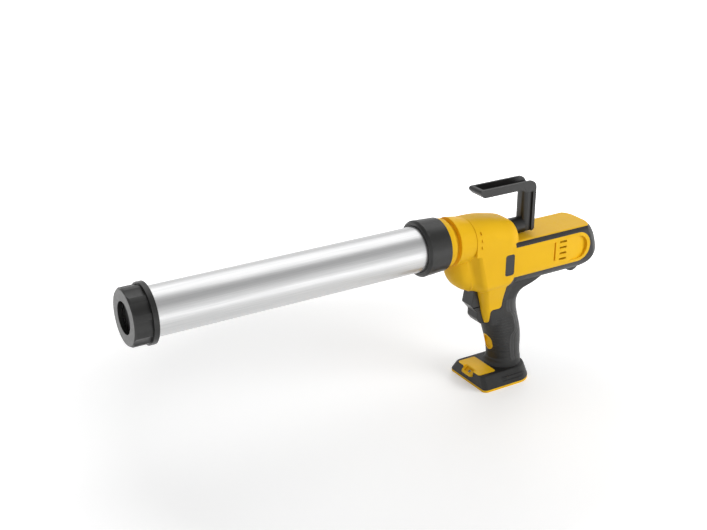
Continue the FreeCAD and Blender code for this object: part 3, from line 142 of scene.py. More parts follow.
# the grip's side panel: its S-shaped rear edge as heights and places along the tool
PANEL_EDGE_MM = (
    (25.0, 185.0), (36.0, 183.5), (50.0, 182.1), (59.0, 182.9), (67.3, 188.5),
    (79.3, 186.8), (91.5, 180.7), (97.0, 173.9), (110.0, 173.0),
)
PANEL_SPAN_MM = (170.0, 190.0)
PANEL_STEP = 0.45 * MM
PANEL_EDGE_FADE = 1.4 * MM
STRIP_WIDTH = 6.0 * MM
STRIP_LINE = 0.9 * MM
RIB_PITCH = 4.07 * MM
RIB_DEPTH = 0.28 * MM
RIB_EDGE_SHARES = (0.55, 0.95)
RIB_HEIGHTS_MM = (36.0, 87.0)
RIB_FRONT = 158.0 * MM
RIB_MARGIN = 3.0 * MM
FADE = 2.0 * MM

# the yellow cheek's lower edge, beside which the rubber leaves a thin gap, sunk and darkened with painted
# shade
CHEEK_CORNERS_MM = ((164.5, 103.0), (148.0, 84.5))
CHEEK_ROUND = 4.0 * MM
GAP_WIDTH = 0.7 * MM
GAP_DEPTH = 0.5 * MM
GAP_TOP = 132.0 * MM

# mouldings
PARTING_HALF = 0.12 * MM
PARTING_FADE = 0.10 * MM
PARTING_DEPTH = 0.12 * MM
# how far the painted reflection on the front cap's face fades at its edge
CAP_REFLECTION_FADE = 0.5 * MM

# forms, in millimetres from the nose's front on the barrel axis: +X to the tail, +Z up. A drop is
# measured down from that axis, and a height up from the floor.
AXIS = 200.0
NOSE_PLACE = 77.0
ARC_STEPS = 10
ROUND_STEPS = 96
LOFT_STEPS = 10
WHEEL_STEPS = 18
MERGE = 0.0001
NEAR = 0.05
OVERRUN = 1.0
WIDE = 46.0
WALL = 4.5
SEAM_GAP = 0.04
SOLVER = "MANIFOLD"
SHARP_ANGLE = math.radians(30)
EDGE_ROUND = 0.7
EDGE_STEPS = 3
EDGE_SHARE = 0.29

# nose ring, groove, and drum with its end as (place, half width, top)
NOSE = 30.0
NOSE_LENGTH = 9.0
NOSE_ROUND = 1.2
GROOVE = 25.0
GROOVE_END = 15.5
HEAD_END = (41.0, 29.3, 24.8)
HEAD_BORE = 22.5
HEAD_BORE_ENDS = (13.0, 49.0)
SPIGOT = 24.6
SPIGOT_ENDS = (-8.0, 13.5)

# middle of the body: each arch is (place, half width, top)
BODY_FLOOR = 69.0
BODY_HALF = 30.0
BELLY = 13.0
ARCH_FLAT = 5.0
LEDGE = 16.0
BODY_STATIONS = (
    (38.0, 30.0, 25.5), (60.0, 30.0, 24.8), (82.0, 30.0, 21.0), (96.0, 29.0, 17.0), (103.0, 25.5, 12.5),
)

# quarter-wheel lobe under the nose, and the cheeks that flare from a valley to the body
LOBE_LAP = ((59.0, -69.05, 0), (45.0, -16.0, 0))
LOBE_FRONT = 16.0
LOBE_HALF = 20.5
LOBE_TOP = 8.0
LOBE_ROUND = 35.0
LOBE_RIM = 18.0
LOBE_REAR = 63.0
VALLEY_TOP = 30.0
VALLEY_FLOOR = 48.0
VALLEY_ROUND = 8.0
VALLEY_LEAD_SHARE = 0.6
FLARE_TOP = 41.0
FLARE_FLOOR = 55.0
FLARE_ROUND = 10.0
FLARE_EDGE_SHARES = (1.38, 1.2, 1.0, 0.72, 0.5, 0.32, 0.18, 0.08, 0.02)

# motor housing: its rear end is (drop, place) at each level
TAIL_TOP = 8.5
TAIL_FLOOR = 70.5
TAIL_BELLY = 24.0
TAIL_TOP_ROUND = 7.0
TAIL_PLAN_ROUND = 22.0
TAIL_FRONT = 91.0
TAIL_END = 236.0
TAIL_STATIONS = (
    (8.0, 219.0), (14.0, 225.5), (24.0, 231.5), (38.0, 236.0),
    (50.0, 236.0), (58.0, 228.0), (65.0, 214.0), (71.0, 203.0),
)

# grip (drop, front, rear) and the leg over it (drop, front, rear, half width)
GRIP_HALF = 18.0
GRIP_STATIONS = (
    (64.0, 66.0, 168.0), (74.0, 68.0, 148.0), (79.0, 68.6, 132.0),
    (86.0, 69.4, 123.5), (104.0, 71.0, 121.0), (130.0, 76.5, 127.5),
    (148.0, 82.0, 130.5), (168.0, 86.0, 131.0), (186.0, 86.5, 134.0),
)
LEG_ROUND = 9.0
LEG_STATIONS = (
    (58.0, 54.0, 100.0, 28.6), (73.0, 56.0, 97.0, 24.2), (86.0, 59.5, 94.0, 20.4),
    (101.0, 63.0, 93.0, 18.4), (120.0, 69.5, 93.0, 17.2),
)

# foot (height, front, rear, half width, front and rear corner) and ankle (height, front, rear, half width)
FOOT_STATIONS = (
    (0.0, 53.5, 134.0, 37.5, 6.0, 25.0), (4.0, 53.5, 134.0, 37.5, 6.0, 25.0),
    (16.6, 54.4, 131.3, 28.95, 6.0, 20.4), (17.6, 54.9, 130.8, 28.1, 6.0, 20.0),
    (18.0, 55.9, 129.8, 27.1, 6.0, 19.0),
)
ANKLE_STATIONS = (
    (16.0, 82.0, 131.5, 26.5), (20.5, 84.5, 131.8, 21.8),
    (26.0, 86.0, 131.6, 19.0), (33.0, 89.0, 127.5, 15.4),
)
# recess in each flank of the foot: corners (distance from the middle, height)
RECESS = ((33.9, 7.5), (43.0, 7.5), (39.0, 13.5), (29.85, 13.5))
RECESS_ENDS = (84.0, 121.0)

# side view of the black over-moulding: corners (x, z, radius)
BLACK_BORDER = (
    (97.0, -9.6, 0), (244.0, -9.6, 0), (244.0, -197.0, 0), (45.5, -197.0, 0), (45.5, -115.5, 0),
    (71.0, -115.5, 4.0), (71.0, -97.0, 4.0), (87.5, -97.0, 4.0), (87.5, -66.0, 4.0), (97.0, -54.5, 0),
    (216.0, -54.5, 19.7), (216.0, -15.0, 19.7), (97.0, -15.0, 0),
)

# openings; a block is its two ends along X, Y and Z
CUT_BLOCKS = (
    # trigger slot, stem slot, battery bay and its mouth, room for the lock yoke's left leg
    (47.5, 76.3, -10.3, 10.3, -117.3, -68.7),
    (47.5, 86.0, -6.3, 6.3, -105.3, -87.7),
    (58.5, 118.0, -32.5, 32.5, -208.0, -188.6),
    (58.5, 142.0, -24.5, 24.5, -208.0, -191.0),
    (81.7, 95.3, -25.5, -20.0, -55.6, -24.0),
)
SLEEVE = 11.8
SLEEVE_ENDS = (72.0, 111.0)
DIAL_PLACE = 212.0
DIAL_DROP = 67.5
DIAL_WELL = 12.3
DIAL_WELL_SIDES = (-4.3, 4.3)
LOCK_HOLE = ((81.7, -49.8, 3.0), (95.3, -49.8, 3.0), (95.3, -22.2, 3.0), (81.7, -22.2, 3.0))
LOCK_ROOT = 17.0
VENT_SLOTS = 4
VENT_ENDS = (166.0, 177.0)
VENT_TOP = -20.7
VENT_HEIGHT = 2.6
VENT_PITCH = 7.6
VENT_ROOT = 23.0
SCREW_WELL = 3.1
SCREW_WELLS = (
    # place, level on the axis, and how far out from the middle the screw's seat lies
    (61.8, -62.6, 16.0), (166.9, -62.6, 16.0), (224.5, -43.2, 16.0),
    (95.8, -118.1, 10.0), (108.2, -174.2, 10.0),
)
# the yellow insert in the foot, in plan: corners (x, y, radius), then levels on the axis
INSERT = (
    (50.5, -10.5, 4.0), (55.0, -10.5, 0), (55.0, -22.5, 3.0), (81.0, -22.5, 3.0),
    (81.0, 22.5, 3.0), (55.0, 22.5, 3.0), (55.0, 10.5, 0), (50.5, 10.5, 4.0),
)
INSERT_BASE = -188.6
INSERT_TOP = -181.4
INSERT_HOLE_TOP = -175.0

# marks on the shells: seam slots and panel groove, the panel's dished end, the window in the grip
MARKS = (
    # ends along the tool, heights, inner face
    (43.5, 45.3, -6.0, -2.0, 28.8), (43.5, 45.3, 2.5, 6.5, 28.4), (43.5, 45.3, 11.0, 15.0, 24.6),
    (157.2, 159.6, -45.0, -20.5, 27.6),
)
SCOOP_FRONT = 178.0
SCOOP_REAR = 211.5
SCOOP_LOW = -50.0
SCOOP_TOP = -19.5
SCOOP_DEPTH = 3.9
WINDOW_HALF_WIDTH = 6.0
WINDOW_HALF_HEIGHT = 9.0
WINDOW_MIDDLE = -150.0
WINDOW_FRONT = 53.5
WINDOW_REAR = 90.0
WINDOW_RIM = 2.2
WINDOW_FLOOR = 86.0

# trigger: corners of its side view (x, z, radius), its stem, and its cross line, written as a mark is
TRIGGER = (
    (51.0, -69.3, 2.0), (60.0, -69.3, 0), (69.0, -117.0, 2.0), (63.0, -117.0, 5.0),
    (57.0, -109.0, 5.0), (57.0, -100.0, 2.0), (47.5, -89.0, 2.0),
)
TRIGGER_HALF = 10.0
TRIGGER_STEM = (60.0, 78.5, -6.0, 6.0, -105.0, -88.0)
TRIGGER_LINE = (39.5, 62.0, -93.4, -92.0, 8.6)

# hook: its side view, the stem in plan, blocks for the arm, tray and channel, and the sleeve
HOOK_SIDE = (
    (48.5, 60.0, 3.0), (137.5, 60.0, 10.0), (137.5, -5.5, 4.0),
    (122.0, -5.5, 0), (122.0, 50.0, 4.0), (58.5, 50.0, 4.0),
)
HOOK_HALF = 12.0
HOOK_STEM = [(122.0, -9.6, 7.0), (133.0, -9.6, 0), (133.0, -12.5, 0), (138.0, -12.5, 0)]
HOOK_STEM_HEIGHTS = (-6.0, 60.5)
HOOK_ARM = (48.0, 138.0, -12.5, 12.5, 46.0, 60.5)
HOOK_TRAY = (58.5, 145.0, -9.0, 9.0, 53.0, 68.0)
HOOK_CHANNEL = (125.0, 145.0, -6.6, 6.6, 8.0, 53.5)
HOOK_SLEEVE = 11.0
HOOK_SLEEVE_ENDS = (88.0, 125.0)
HOOK_SLEEVE_FLAT = (80.0, 137.4, -22.0, 22.0, -22.0, -6.6)
HOOK_BORE = 4.1
HOOK_BORE_ENDS = (80.0, 130.1)

# lamp in the foot's insert: blocks along its beam as (half width, half height, start, end, corner)
LAMP_ALONG = 55.8
LAMP_HEIGHT = 15.9
LAMP_TILT = math.radians(60)
LAMP_FACE = (10.6, 9.0, -8.0, 0.0, 0)
LAMP_MOUTH = (7.6, 3.6, -8.0, 2.4, 1.6)
LAMP_BOARD = (5.0, 2.2, 3.4, 4.2, 0)
LAMP_EYE = (2.1, 2.1, 2.0, 3.6, 2.0)
LAMP_LENS = (2.0, 2.0, 1.9, 3.3, 1.9)


class Surface:
    """A node material: one Principled shader, and methods that lay detail on it."""

    def __init__(self, name, colour, roughness, metallic=0.0, **settings):
        self.material = bpy.data.materials.new(name)
        self.material.use_nodes = True
        self.tree = self.material.node_tree
        self.shader = self.tree.nodes["Principled BSDF"]
        self.coords = self.add("ShaderNodeTexCoord").outputs["Object"]
        self.colour = (*colour, 1.0)
        self.shader.inputs["Base Color"].default_value = self.colour
        self.shader.inputs["Roughness"].default_value = roughness
        self.shader.inputs["Metallic"].default_value = metallic
        for socket, value in settings.items():
            self.shader.inputs[socket.replace("_", " ")].default_value = value

    def add(self, kind, inputs=None, **attributes):
        """Add a node; an input is a value, or an output that is linked to it."""
        node = self.tree.nodes.new(kind)
        for name, value in attributes.items():
            setattr(node, name, value)
        for name, value in (inputs or {}).items():
            if isinstance(value, bpy.types.NodeSocket):
                self.tree.links.new(value, node.inputs[name])
            else:
                node.inputs[name].default_value = value
        return node

    def noise(self, grain, detail=2.0, stretch=(1.0, 1.0, 1.0)):
        """Return noise whose grains are about so long, drawn out by a stretch along each axis."""
        scaling = self.add("ShaderNodeMapping", {"Vector": self.coords, "Scale": [1 / s for s in stretch]})
        inputs = {"Vector": scaling.outputs["Vector"], "Scale": 1 / grain, "Detail": detail}
        return self.add("ShaderNodeTexNoise", inputs).outputs["Fac"]

    def spread(self, fac, low, high, start=NOISE_LOW, end=NOISE_HIGH):
        """Return a factor stretched from its usual span to lie between two values."""
        inputs = {"Value": fac, "From Min": start, "From Max": end, "To Min": low, "To Max": high}
        return self.add("ShaderNodeMapRange", inputs).outputs["Result"]

    def paint(self, fac, colour):
        """Lay a second colour over the base colour, as far as a factor from 0 to 1 says."""
        mix = self.add("ShaderNodeMix", data_type="RGBA")
        socket = self.shader.inputs["Base Color"]
        first = next(s for s in mix.inputs if s.type == "RGBA")
        second = [s for s in mix.inputs if s.type == "RGBA"][1]
        self.tree.links.new(fac, mix.inputs["Factor"])
        if socket.links:
            self.tree.links.new(socket.links[0].from_socket, first)
        else:
            first.default_value = self.colour
        second.default_value = (*colour, 1.0)
        result = next(s for s in mix.outputs if s.type == "RGBA")
        self.tree.links.new(result, socket)
        return self

    def polish(self, fac, low, high):
        """Vary the roughness."""
        self.tree.links.new(self.spread(fac, low, high), self.shader.inputs["Roughness"])
        return self

    def relief(self, height, depth, sunk=False):
        """Raise or sink the surface by a height field; called again, it adds to what is there."""
        bump = self.add("ShaderNodeBump", {"Height": height, "Distance": depth}, invert=sunk)
        socket = self.shader.inputs["Normal"]
        if socket.links:
            self.tree.links.new(socket.links[0].from_socket, bump.inputs["Normal"])
        self.tree.links.new(bump.outputs["Normal"], socket)
        return self

    def math(self, operation, *values):
        node = self.add("ShaderNodeMath", dict(enumerate(values)), operation=operation)
        return node.outputs["Value"]

    def axis(self, name):
        return self.add("ShaderNodeSeparateXYZ", {"Vector": self.coords}).outputs[name]

    def above(self, value, edge, fade):
        """Return 0 below an edge, rising to 1 a fade past it."""
        return self.spread(value, 0.0, 1.0, edge, edge + fade)

    def below(self, value, edge, fade):
        """Return 1 below an edge, falling to 0 a fade past it."""
        return self.spread(value, 1.0, 0.0, edge, edge + fade)

    def window(self, value, low, high, fade):
        """Return 1 where a value lies between two limits, fading to 0 just outside them."""
        return self.math("MULTIPLY", self.above(value, low - fade, fade), self.below(value, high, fade))

    def curve(self, value, points, low, high):
        """Return a smooth line through points (place, height), both scaled to lie between 0 and 1."""
        start, end = points[0][0], points[-1][0]
        node = self.add("ShaderNodeFloatCurve", {"Value": self.spread(value, 0.0, 1.0, start, end)})
        line = node.mapping.curves[0]
        scaled = [((x - start) / (end - start), (y - low) / (high - low)) for x, y in points]
        line.points[0].location = scaled[0]
        line.points[-1].location = scaled[-1]
        for spot in scaled[1:-1]:
            line.points.new(*spot)
        node.mapping.update()
        return self.spread(node.outputs["Value"], low, high, 0.0, 1.0)


def moulded(name, colour, second, roughness, grain, depth, **settings):
    """Moulded plastic: a fine spark texture, soft flow marks and a slight change of tone."""
    s = Surface(name, colour, roughness, **settings)
    s.paint(s.spread(s.noise(TONE_GRAIN, TONE_DETAIL), 0.0, 1.0), second)
    s.polish(s.noise(FLOW_GRAIN, FLOW_DETAIL), roughness - FLOW_SPREAD, roughness + FLOW_SPREAD)
    s.relief(s.noise(grain, SPARK_DETAIL), depth)
    return s


def metal(name, dark, light, roughness, grain, stretch, depth):
    """Worked metal: streaks that follow the way it was drawn or turned."""
    s = Surface(name, light, roughness, metallic=1.0)
    streaks = s.noise(grain, STREAK_DETAIL, stretch)
    s.paint(s.spread(streaks, 0.0, 1.0), dark)
    s.polish(streaks, roughness - STREAK_SPREAD, roughness + STREAK_SPREAD)
    s.relief(streaks, depth)
    return s


def yellow_shell():
    """The shells' plastic, with the fine parting line where the two halves meet."""
    s = moulded(
        "yellow_plastic", YELLOW, YELLOW_DEEP, YELLOW_ROUGHNESS, SPARK_GRAIN, SPARK_DEPTH,
        Specular_IOR_Level=YELLOW_SPECULAR,
    )
    line = s.window(s.axis("Y"), -PARTING_HALF, PARTING_HALF, PARTING_FADE)
    s.relief(line, PARTING_DEPTH, sunk=True)
    return s


def black_shell():
    """The caps' and collars' plastic; the front cap's face is painted a lighter grey, a painted reflection
    broken by noise.
    """
    s = moulded("black_plastic", BLACK, BLACK_WORN, BLACK_ROUGHNESS, BLACK_GRAIN, BLACK_GRAIN_DEPTH)
    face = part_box("front_cap")[0].x
    reflection_noise = s.spread(s.noise(REFLECTION_NOISE_GRAIN, REFLECTION_NOISE_DETAIL), *REFLECTION_NOISE_SHARES)
    # painted reflection: the cap's front face turns a lighter grey, broken by noise
    s.paint(s.math("MULTIPLY", s.below(s.axis("X"), face, CAP_REFLECTION_FADE), reflection_noise), CAP_FACE_PAINTED_REFLECTION)
    return s


def grip_rubber():
    """Over-moulded rubber: a ribbed side panel, a smooth rear strip with a painted sheen, and a gap beside
    the yellow with painted shade.
    """
    s = moulded("black_rubber", RUBBER, RUBBER_DUSTY, RUBBER_ROUGHNESS, RUBBER_GRAIN, RUBBER_GRAIN_DEPTH)
    along = s.axis("X")
    height = s.axis("Z")
    points = [(z * MM, x * MM) for z, x in PANEL_EDGE_MM]
    edge = s.curve(height, points, *[x * MM for x in PANEL_SPAN_MM])
    behind = s.math("SUBTRACT", along, edge)
    on_grip = s.window(height, points[0][0], points[-1][0], FADE)
    panel = s.math("MULTIPLY", s.below(behind, 0.0, PANEL_EDGE_FADE), on_grip)
    rear = s.math("MULTIPLY", s.above(behind, 0.0, PANEL_EDGE_FADE), on_grip)
    # painted sheen: the rear strip is painted a lighter grey
    s.paint(rear, RUBBER_REAR_PAINTED_SHEEN)
    s.relief(panel, PANEL_STEP)
    line = s.window(behind, STRIP_WIDTH, STRIP_WIDTH + STRIP_LINE, STRIP_LINE)
    s.relief(s.math("MULTIPLY", line, on_grip), PANEL_STEP, sunk=True)
    wave = s.math("SINE", s.math("MULTIPLY", height, FULL_TURN / RIB_PITCH))
    ribs = s.spread(wave, 0.0, 1.0, *RIB_EDGE_SHARES)
    low, high = [z * MM for z in RIB_HEIGHTS_MM]
    field = s.math("MULTIPLY", s.window(height, low, high, FADE), s.below(behind, -RIB_MARGIN, FADE))
    field = s.math("MULTIPLY", field, s.above(along, RIB_FRONT, FADE))
    s.relief(s.math("MULTIPLY", ribs, field), RIB_DEPTH, sunk=True)
    gap = cheek_gap(s, along, height)
    s.relief(gap, GAP_DEPTH, sunk=True)
    # painted shade: the gap is painted near black
    s.paint(gap, GAP_PAINTED_SHADE)
    return s


def cheek_gap(s, along, height):
    """Return 1 in the thin gap that follows the lower edge of the yellow cheek."""
    nearest = None
    for x, z in CHEEK_CORNERS_MM:
        past_x = s.math("SUBTRACT", along, x * MM)
        past_z = s.math("SUBTRACT", z * MM, height)
        distance = s.math("SMOOTH_MAX", past_x, past_z, CHEEK_ROUND)
        nearest = distance if nearest is None else s.math("SMOOTH_MIN", nearest, distance, CHEEK_ROUND)
    near = s.below(nearest, GAP_WIDTH, GAP_WIDTH)
    return s.math("MULTIPLY", near, s.below(height, GAP_TOP, FADE))


def clear_lens():
    """The lamp's clear plastic, faintly hazy and rippled."""
    s = Surface("clear_lens", LENS, LENS_ROUGHNESS, Transmission_Weight=1.0, IOR=LENS_INDEX)
    s.polish(s.noise(LENS_HAZE_GRAIN), *LENS_ROUGHNESS_ENDS)
    s.relief(s.noise(LENS_RIPPLE_GRAIN), LENS_RIPPLE_DEPTH)
    return s


def make_materials():
    """Return the finish of each material slot."""
    surfaces = {
        "yellow_plastic": yellow_shell(),
        "black_plastic": black_shell(),
        "black_rubber": grip_rubber(),
        "clear_lens": clear_lens(),
    }
    for slot, finish in METALS.items():
        surfaces[slot] = metal(slot, *finish)
    for slot, finish in PLASTICS.items():
        surfaces[slot] = moulded(slot, *finish)
    return surfaces


def dress_frame(materials):
    """Give each solid of the frame the material of its slot."""
    for part in frame["record"]["subparts"]:
        mesh = frame["nodes"][part["node"]].data
        mesh.materials.clear()
        mesh.materials.append(materials[part["material_slot"]].material)


def outline(corners):
    """Return the points of a closed outline whose corners (u, v, radius) are rounded."""
    points = []
    for k, (u, v, radius) in enumerate(corners):
        here = Vector((u, v))
        if radius <= 0:
            points.append(here)
            continue
        before = (Vector(corners[k - 1][:2]) - here).normalized()
        after = (Vector(corners[(k + 1) % len(corners)][:2]) - here).normalized()
        half_angle = before.angle(after) / 2
        centre = here + (before + after).normalized() * radius / math.sin(half_angle)
        start = here + before * radius / math.tan(half_angle) - centre
        swing = start.angle_signed(here + after * radius / math.tan(half_angle) - centre)
        for step in range(ARC_STEPS + 1):
            turn = -swing * step / ARC_STEPS
            spoke = Vector((
                start.x * math.cos(turn) - start.y * math.sin(turn),
                start.x * math.sin(turn) + start.y * math.cos(turn),
            ))
            points.append(centre + spoke)
    return points


def mirrored(corners):
    """Return corners on one side of the middle line, and the same on the other side."""
    return corners + [(x, -y, r) for x, y, r in reversed(corners)]


def plan(corners, z):
    """Return an outline that lies flat, at a height on the axis."""
    return [(x, y, z) for x, y in outline(corners)]


def side(corners, y):
    """Return an outline that is seen from the side."""
    return [(x, y, z) for x, z in outline(corners)]


def section(corners, x):
    """Return an outline across the tool, at a place along it."""
    return [(x, y, z) for y, z in outline(corners)]


def circle(x, radius):
    """Return a circle around the barrel axis."""
    turns = [FULL_TURN * k / ROUND_STEPS for k in range(ROUND_STEPS)]
    return [(x, radius * math.cos(t), radius * math.sin(t)) for t in turns]


def cross_circle(x, y, z, radius):
    """Return a circle around a line from side to side."""
    turns = [FULL_TURN * k / ROUND_STEPS for k in range(ROUND_STEPS)]
    return [(x + radius * math.cos(t), y, z + radius * math.sin(t)) for t in turns]


def eased(rings, between):
    """Put rings between the given ones, on a natural spline through each of their points."""
    steps = np.linalg.norm(np.diff(rings, axis=0), axis=2).mean(axis=1)
    last = len(rings) - 1
    matrix = np.eye(last + 1)
    right = np.zeros_like(rings)
    for k in range(1, last):
        a, b = steps[k - 1], steps[k]
        matrix[k, k - 1:k + 2] = a, 2 * (a + b), b
        right[k] = 6 * ((rings[k + 1] - rings[k]) / b - (rings[k] - rings[k - 1]) / a)
    bend = np.linalg.solve(matrix, right.reshape(last + 1, -1)).reshape(rings.shape)
    filled = []
    for k in range(last):
        for b in np.arange(between) / between:
            a = 1 - b
            sag = (a ** 3 - a) * bend[k] + (b ** 3 - b) * bend[k + 1]
            filled.append(a * rings[k] + b * rings[k + 1] + steps[k] ** 2 / 6 * sag)
    return np.array(filled + [rings[-1]])


def form(rings, between=0):
    """Skin rings of points into a closed form, with more rings between them if asked."""
    rings = np.array(rings, dtype=float)
    if between:
        rings = eased(rings, between)
    levels, count = rings.shape[:2]
    faces = [list(range(count)), list(range((levels - 1) * count, levels * count))]
    for k in range(levels - 1):
        for i in range(count):
            j = (i + 1) % count
            faces.append((k * count + i, k * count + j, (k + 1) * count + j, (k + 1) * count + i))
    mesh = bpy.data.meshes.new("form")
    mesh.from_pydata(rings.reshape(-1, 3).tolist(), [], faces)
    shape = bmesh.new()
    shape.from_mesh(mesh)
    bmesh.ops.remove_doubles(shape, verts=shape.verts, dist=MERGE)
    bmesh.ops.dissolve_degenerate(shape, edges=shape.edges, dist=MERGE)
    bmesh.ops.recalc_face_normals(shape, faces=shape.faces)
    shape.to_mesh(mesh)
    shape.free()
    obj = bpy.data.objects.new("form", mesh)
    bpy.context.collection.objects.link(obj)
    return obj


def copied(obj):
    """Return a second form with the same mesh, to be cut by itself."""
    twin = bpy.data.objects.new("form", obj.data.copy())
    bpy.context.collection.objects.link(twin)
    return twin


def combine(operation, base, tools):
    """Join, cut or keep a form with others, which are used up."""
    for tool in tools:
        step = base.modifiers.new("step", "BOOLEAN")
        step.operation = operation
        step.solver = SOLVER
        step.object = tool
    graph = bpy.context.evaluated_depsgraph_get()
    mesh = bpy.data.meshes.new_from_object(base.evaluated_get(graph))
    base.modifiers.clear()
    base.data = mesh
    for tool in tools:
        bpy.data.objects.remove(tool)
    return base


def block(x0, x1, y0, y1, z0, z1):
    """Return a plain block between its ends along each axis."""
    return form([plan([(x0, y0, 0), (x1, y0, 0), (x1, y1, 0), (x0, y1, 0)], z) for z in (z0, z1)])


def slab(corners, half):
    """Return a side outline drawn out to both sides."""
    return form([side(corners, y) for y in (-half, half)])


def outward(hand, inner):
    """Return the ends of a block that runs from an inner face out past one side of the tool."""
    return sorted((hand * inner, hand * WIDE))


def head_form():
    """The nose ring, the groove behind it and the drum that rises to the body's arch."""
    edge = NOSE_ROUND
    eased_edge = edge * EDGE_SHARE
    lip = NOSE - eased_edge
    nose = [
        (0, NOSE - edge), (eased_edge, lip), (edge, NOSE),
        (NOSE_LENGTH - edge, NOSE), (NOSE_LENGTH - eased_edge, lip), (NOSE_LENGTH, NOSE - edge),
        (NOSE_LENGTH, GROOVE), (GROOVE_END + edge, GROOVE),
    ]
    ring = form([circle(x, radius) for x, radius in nose])
    arches = []
    for x, half, top in ((GROOVE_END, lip, lip), (GROOVE_END + edge, NOSE, NOSE), HEAD_END):
        low = half - NEAR
        high = min(half, top) - NEAR
        corners = [(-half, -NOSE, low), (half, -NOSE, low), (half, top, high), (-half, top, high)]
        arches.append(section(corners, x))
    return combine("UNION", ring, [form(arches)])


def body_form(inset):
    """The arched middle of the body, a loft that falls to a rounded rear rim."""
    floor = inset - BODY_FLOOR
    arches = []
    for x, outer_half, outer_top in BODY_STATIONS:
        half = outer_half - inset
        top = outer_top - inset
        bow = half - ARCH_FLAT
        corners = [(-half, floor, BELLY), (half, floor, BELLY), (half, top, bow), (-half, top, bow)]
        arches.append(section(corners, x))
    start, _, first_top = BODY_STATIONS[0]
    end = BODY_STATIONS[-1][0] - inset
    roof = first_top + NEAR
    profile = [
        (start, roof, 0), (end, roof, 0), (end, -BODY_FLOOR - NEAR, 0), *LOBE_LAP, (start, -LEDGE, 0),
    ]
    return combine("INTERSECT", form(arches, LOFT_STEPS), [slab(profile, BODY_HALF + OVERRUN)])


def lobe_form(inset):
    """The gear case under the nose: a quarter wheel with a round rim, and cheeks flaring to the body."""
    half = LOBE_HALF - inset
    corner = LOBE_RIM - inset
    reach = LOBE_ROUND - inset
    hub = LOBE_FRONT + LOBE_ROUND
    level = LOBE_ROUND - BODY_FLOOR
    bow = outline([(0, -half, 0), (reach, -half, corner), (reach, half, corner), (0, half, 0)])
    rings = [[(hub - out, y, -LOBE_TOP) for out, y in bow]]
    for k in range(WHEEL_STEPS + 1):
        turn = math.pi / 2 * k / WHEEL_STEPS
        rings.append([(hub - out * math.cos(turn), y, level - out * math.sin(turn)) for out, y in bow])
    rings.append([(LOBE_REAR, y, level - out) for out, y in bow])
    return combine("UNION", form(rings), [flare_form(inset)])


def rounding(radius, rise):
    """Return how far a round lower edge draws a side in; the rise is 0 at the floor, negative above."""
    past = max(0.0, rise + radius)
    return radius - math.sqrt(radius ** 2 - past ** 2)


def flare_form(inset):
    """The cheeks that lead from the lobe's sides out to the body's, level by level."""
    floor = BODY_FLOOR - inset
    levels = []
    for drop in [LOBE_TOP] + [floor - share * BELLY for share in FLARE_EDGE_SHARES]:
        down = (drop - LOBE_TOP) / (floor - LOBE_TOP)
        drawn = inset + rounding(BELLY, drop - floor)
        valley = VALLEY_TOP + down * (VALLEY_FLOOR - VALLEY_TOP)
        flare = FLARE_TOP + down * (FLARE_FLOOR - FLARE_TOP)
        half = LOBE_HALF - inset - rounding(LOBE_RIM - inset, drop - floor) - NEAR
        wide = BODY_HALF - drawn
        corners = [
            (valley - VALLEY_ROUND * VALLEY_LEAD_SHARE, -half, 0), (valley, -half, VALLEY_ROUND),
            (flare, -wide, FLARE_ROUND), (LOBE_REAR, -wide, 0),
        ]
        levels.append(plan(mirrored(corners), -drop))
    return form(levels)


def tail_form(inset):
    """The motor housing: a flat-topped bar, round underneath, cut to a domed rear end."""
    half = BODY_HALF - inset
    top = -TAIL_TOP - inset
    floor = inset - TAIL_FLOOR
    belly = TAIL_BELLY - inset
    corners = [
        (-half, floor, belly), (half, floor, belly),
        (half, top, TAIL_TOP_ROUND), (-half, top, TAIL_TOP_ROUND),
    ]
    bar = form([section(corners, x) for x in (TAIL_FRONT, TAIL_END)])
    flank = -half - OVERRUN
    levels = []
    for drop, end in TAIL_STATIONS:
        corners = [(TAIL_FRONT - OVERRUN, flank, 0), (end - inset, flank, TAIL_PLAN_ROUND - inset)]
        levels.append(plan(mirrored(corners), -drop))
    return combine("INTERSECT", bar, [form(levels, LOFT_STEPS)])


def grip_form(inset):
    """The grip: a loft of rounded plans that widens to the gusset under the tail."""
    half = GRIP_HALF - inset
    levels = []
    for drop, front, rear in GRIP_STATIONS:
        corners = [(front + inset, -half, half - NEAR), (rear - inset, -half, half - NEAR)]
        levels.append(plan(mirrored(corners), -drop))
    return form(levels, LOFT_STEPS)


def leg_form(inset):
    """The leg: the cheeks beside the trigger, narrowing from the body down to the grip."""
    levels = []
    for drop, front, rear, half in LEG_STATIONS:
        corners = [(rear, inset - half, 0), (front + inset, inset - half, LEG_ROUND)]
        levels.append(plan(mirrored(corners), -drop))
    return form(levels, LOFT_STEPS)


def foot_form():
    """The battery foot: an upright rim, flanks that lean in to the deck, and shoulders up to the grip."""
    levels = []
    for height, front, end, half, front_round, rear_round in FOOT_STATIONS:
        corners = [(front, -half, front_round), (end, -half, rear_round)]
        levels.append(plan(mirrored(corners), height - AXIS))
    ankle = []
    for height, front, end, half in ANKLE_STATIONS:
        corners = [(front, -half, half - NEAR), (end, -half, half - NEAR)]
        ankle.append(plan(mirrored(corners), height - AXIS))
    return combine("UNION", form(levels), [form(ankle, LOFT_STEPS)])


def black_region():
    """The side region of the black over-moulding: stripe, tail, underside, grip and foot."""
    return slab(BLACK_BORDER, WIDE)


def cavity_form():
    """The hollow inside the shells: the same forms, drawn in by the wall."""
    parts = [lobe_form(WALL), tail_form(WALL), grip_form(WALL), leg_form(WALL)]
    parts.append(form([circle(x, HEAD_BORE) for x in HEAD_BORE_ENDS]))
    return combine("UNION", body_form(WALL), parts)


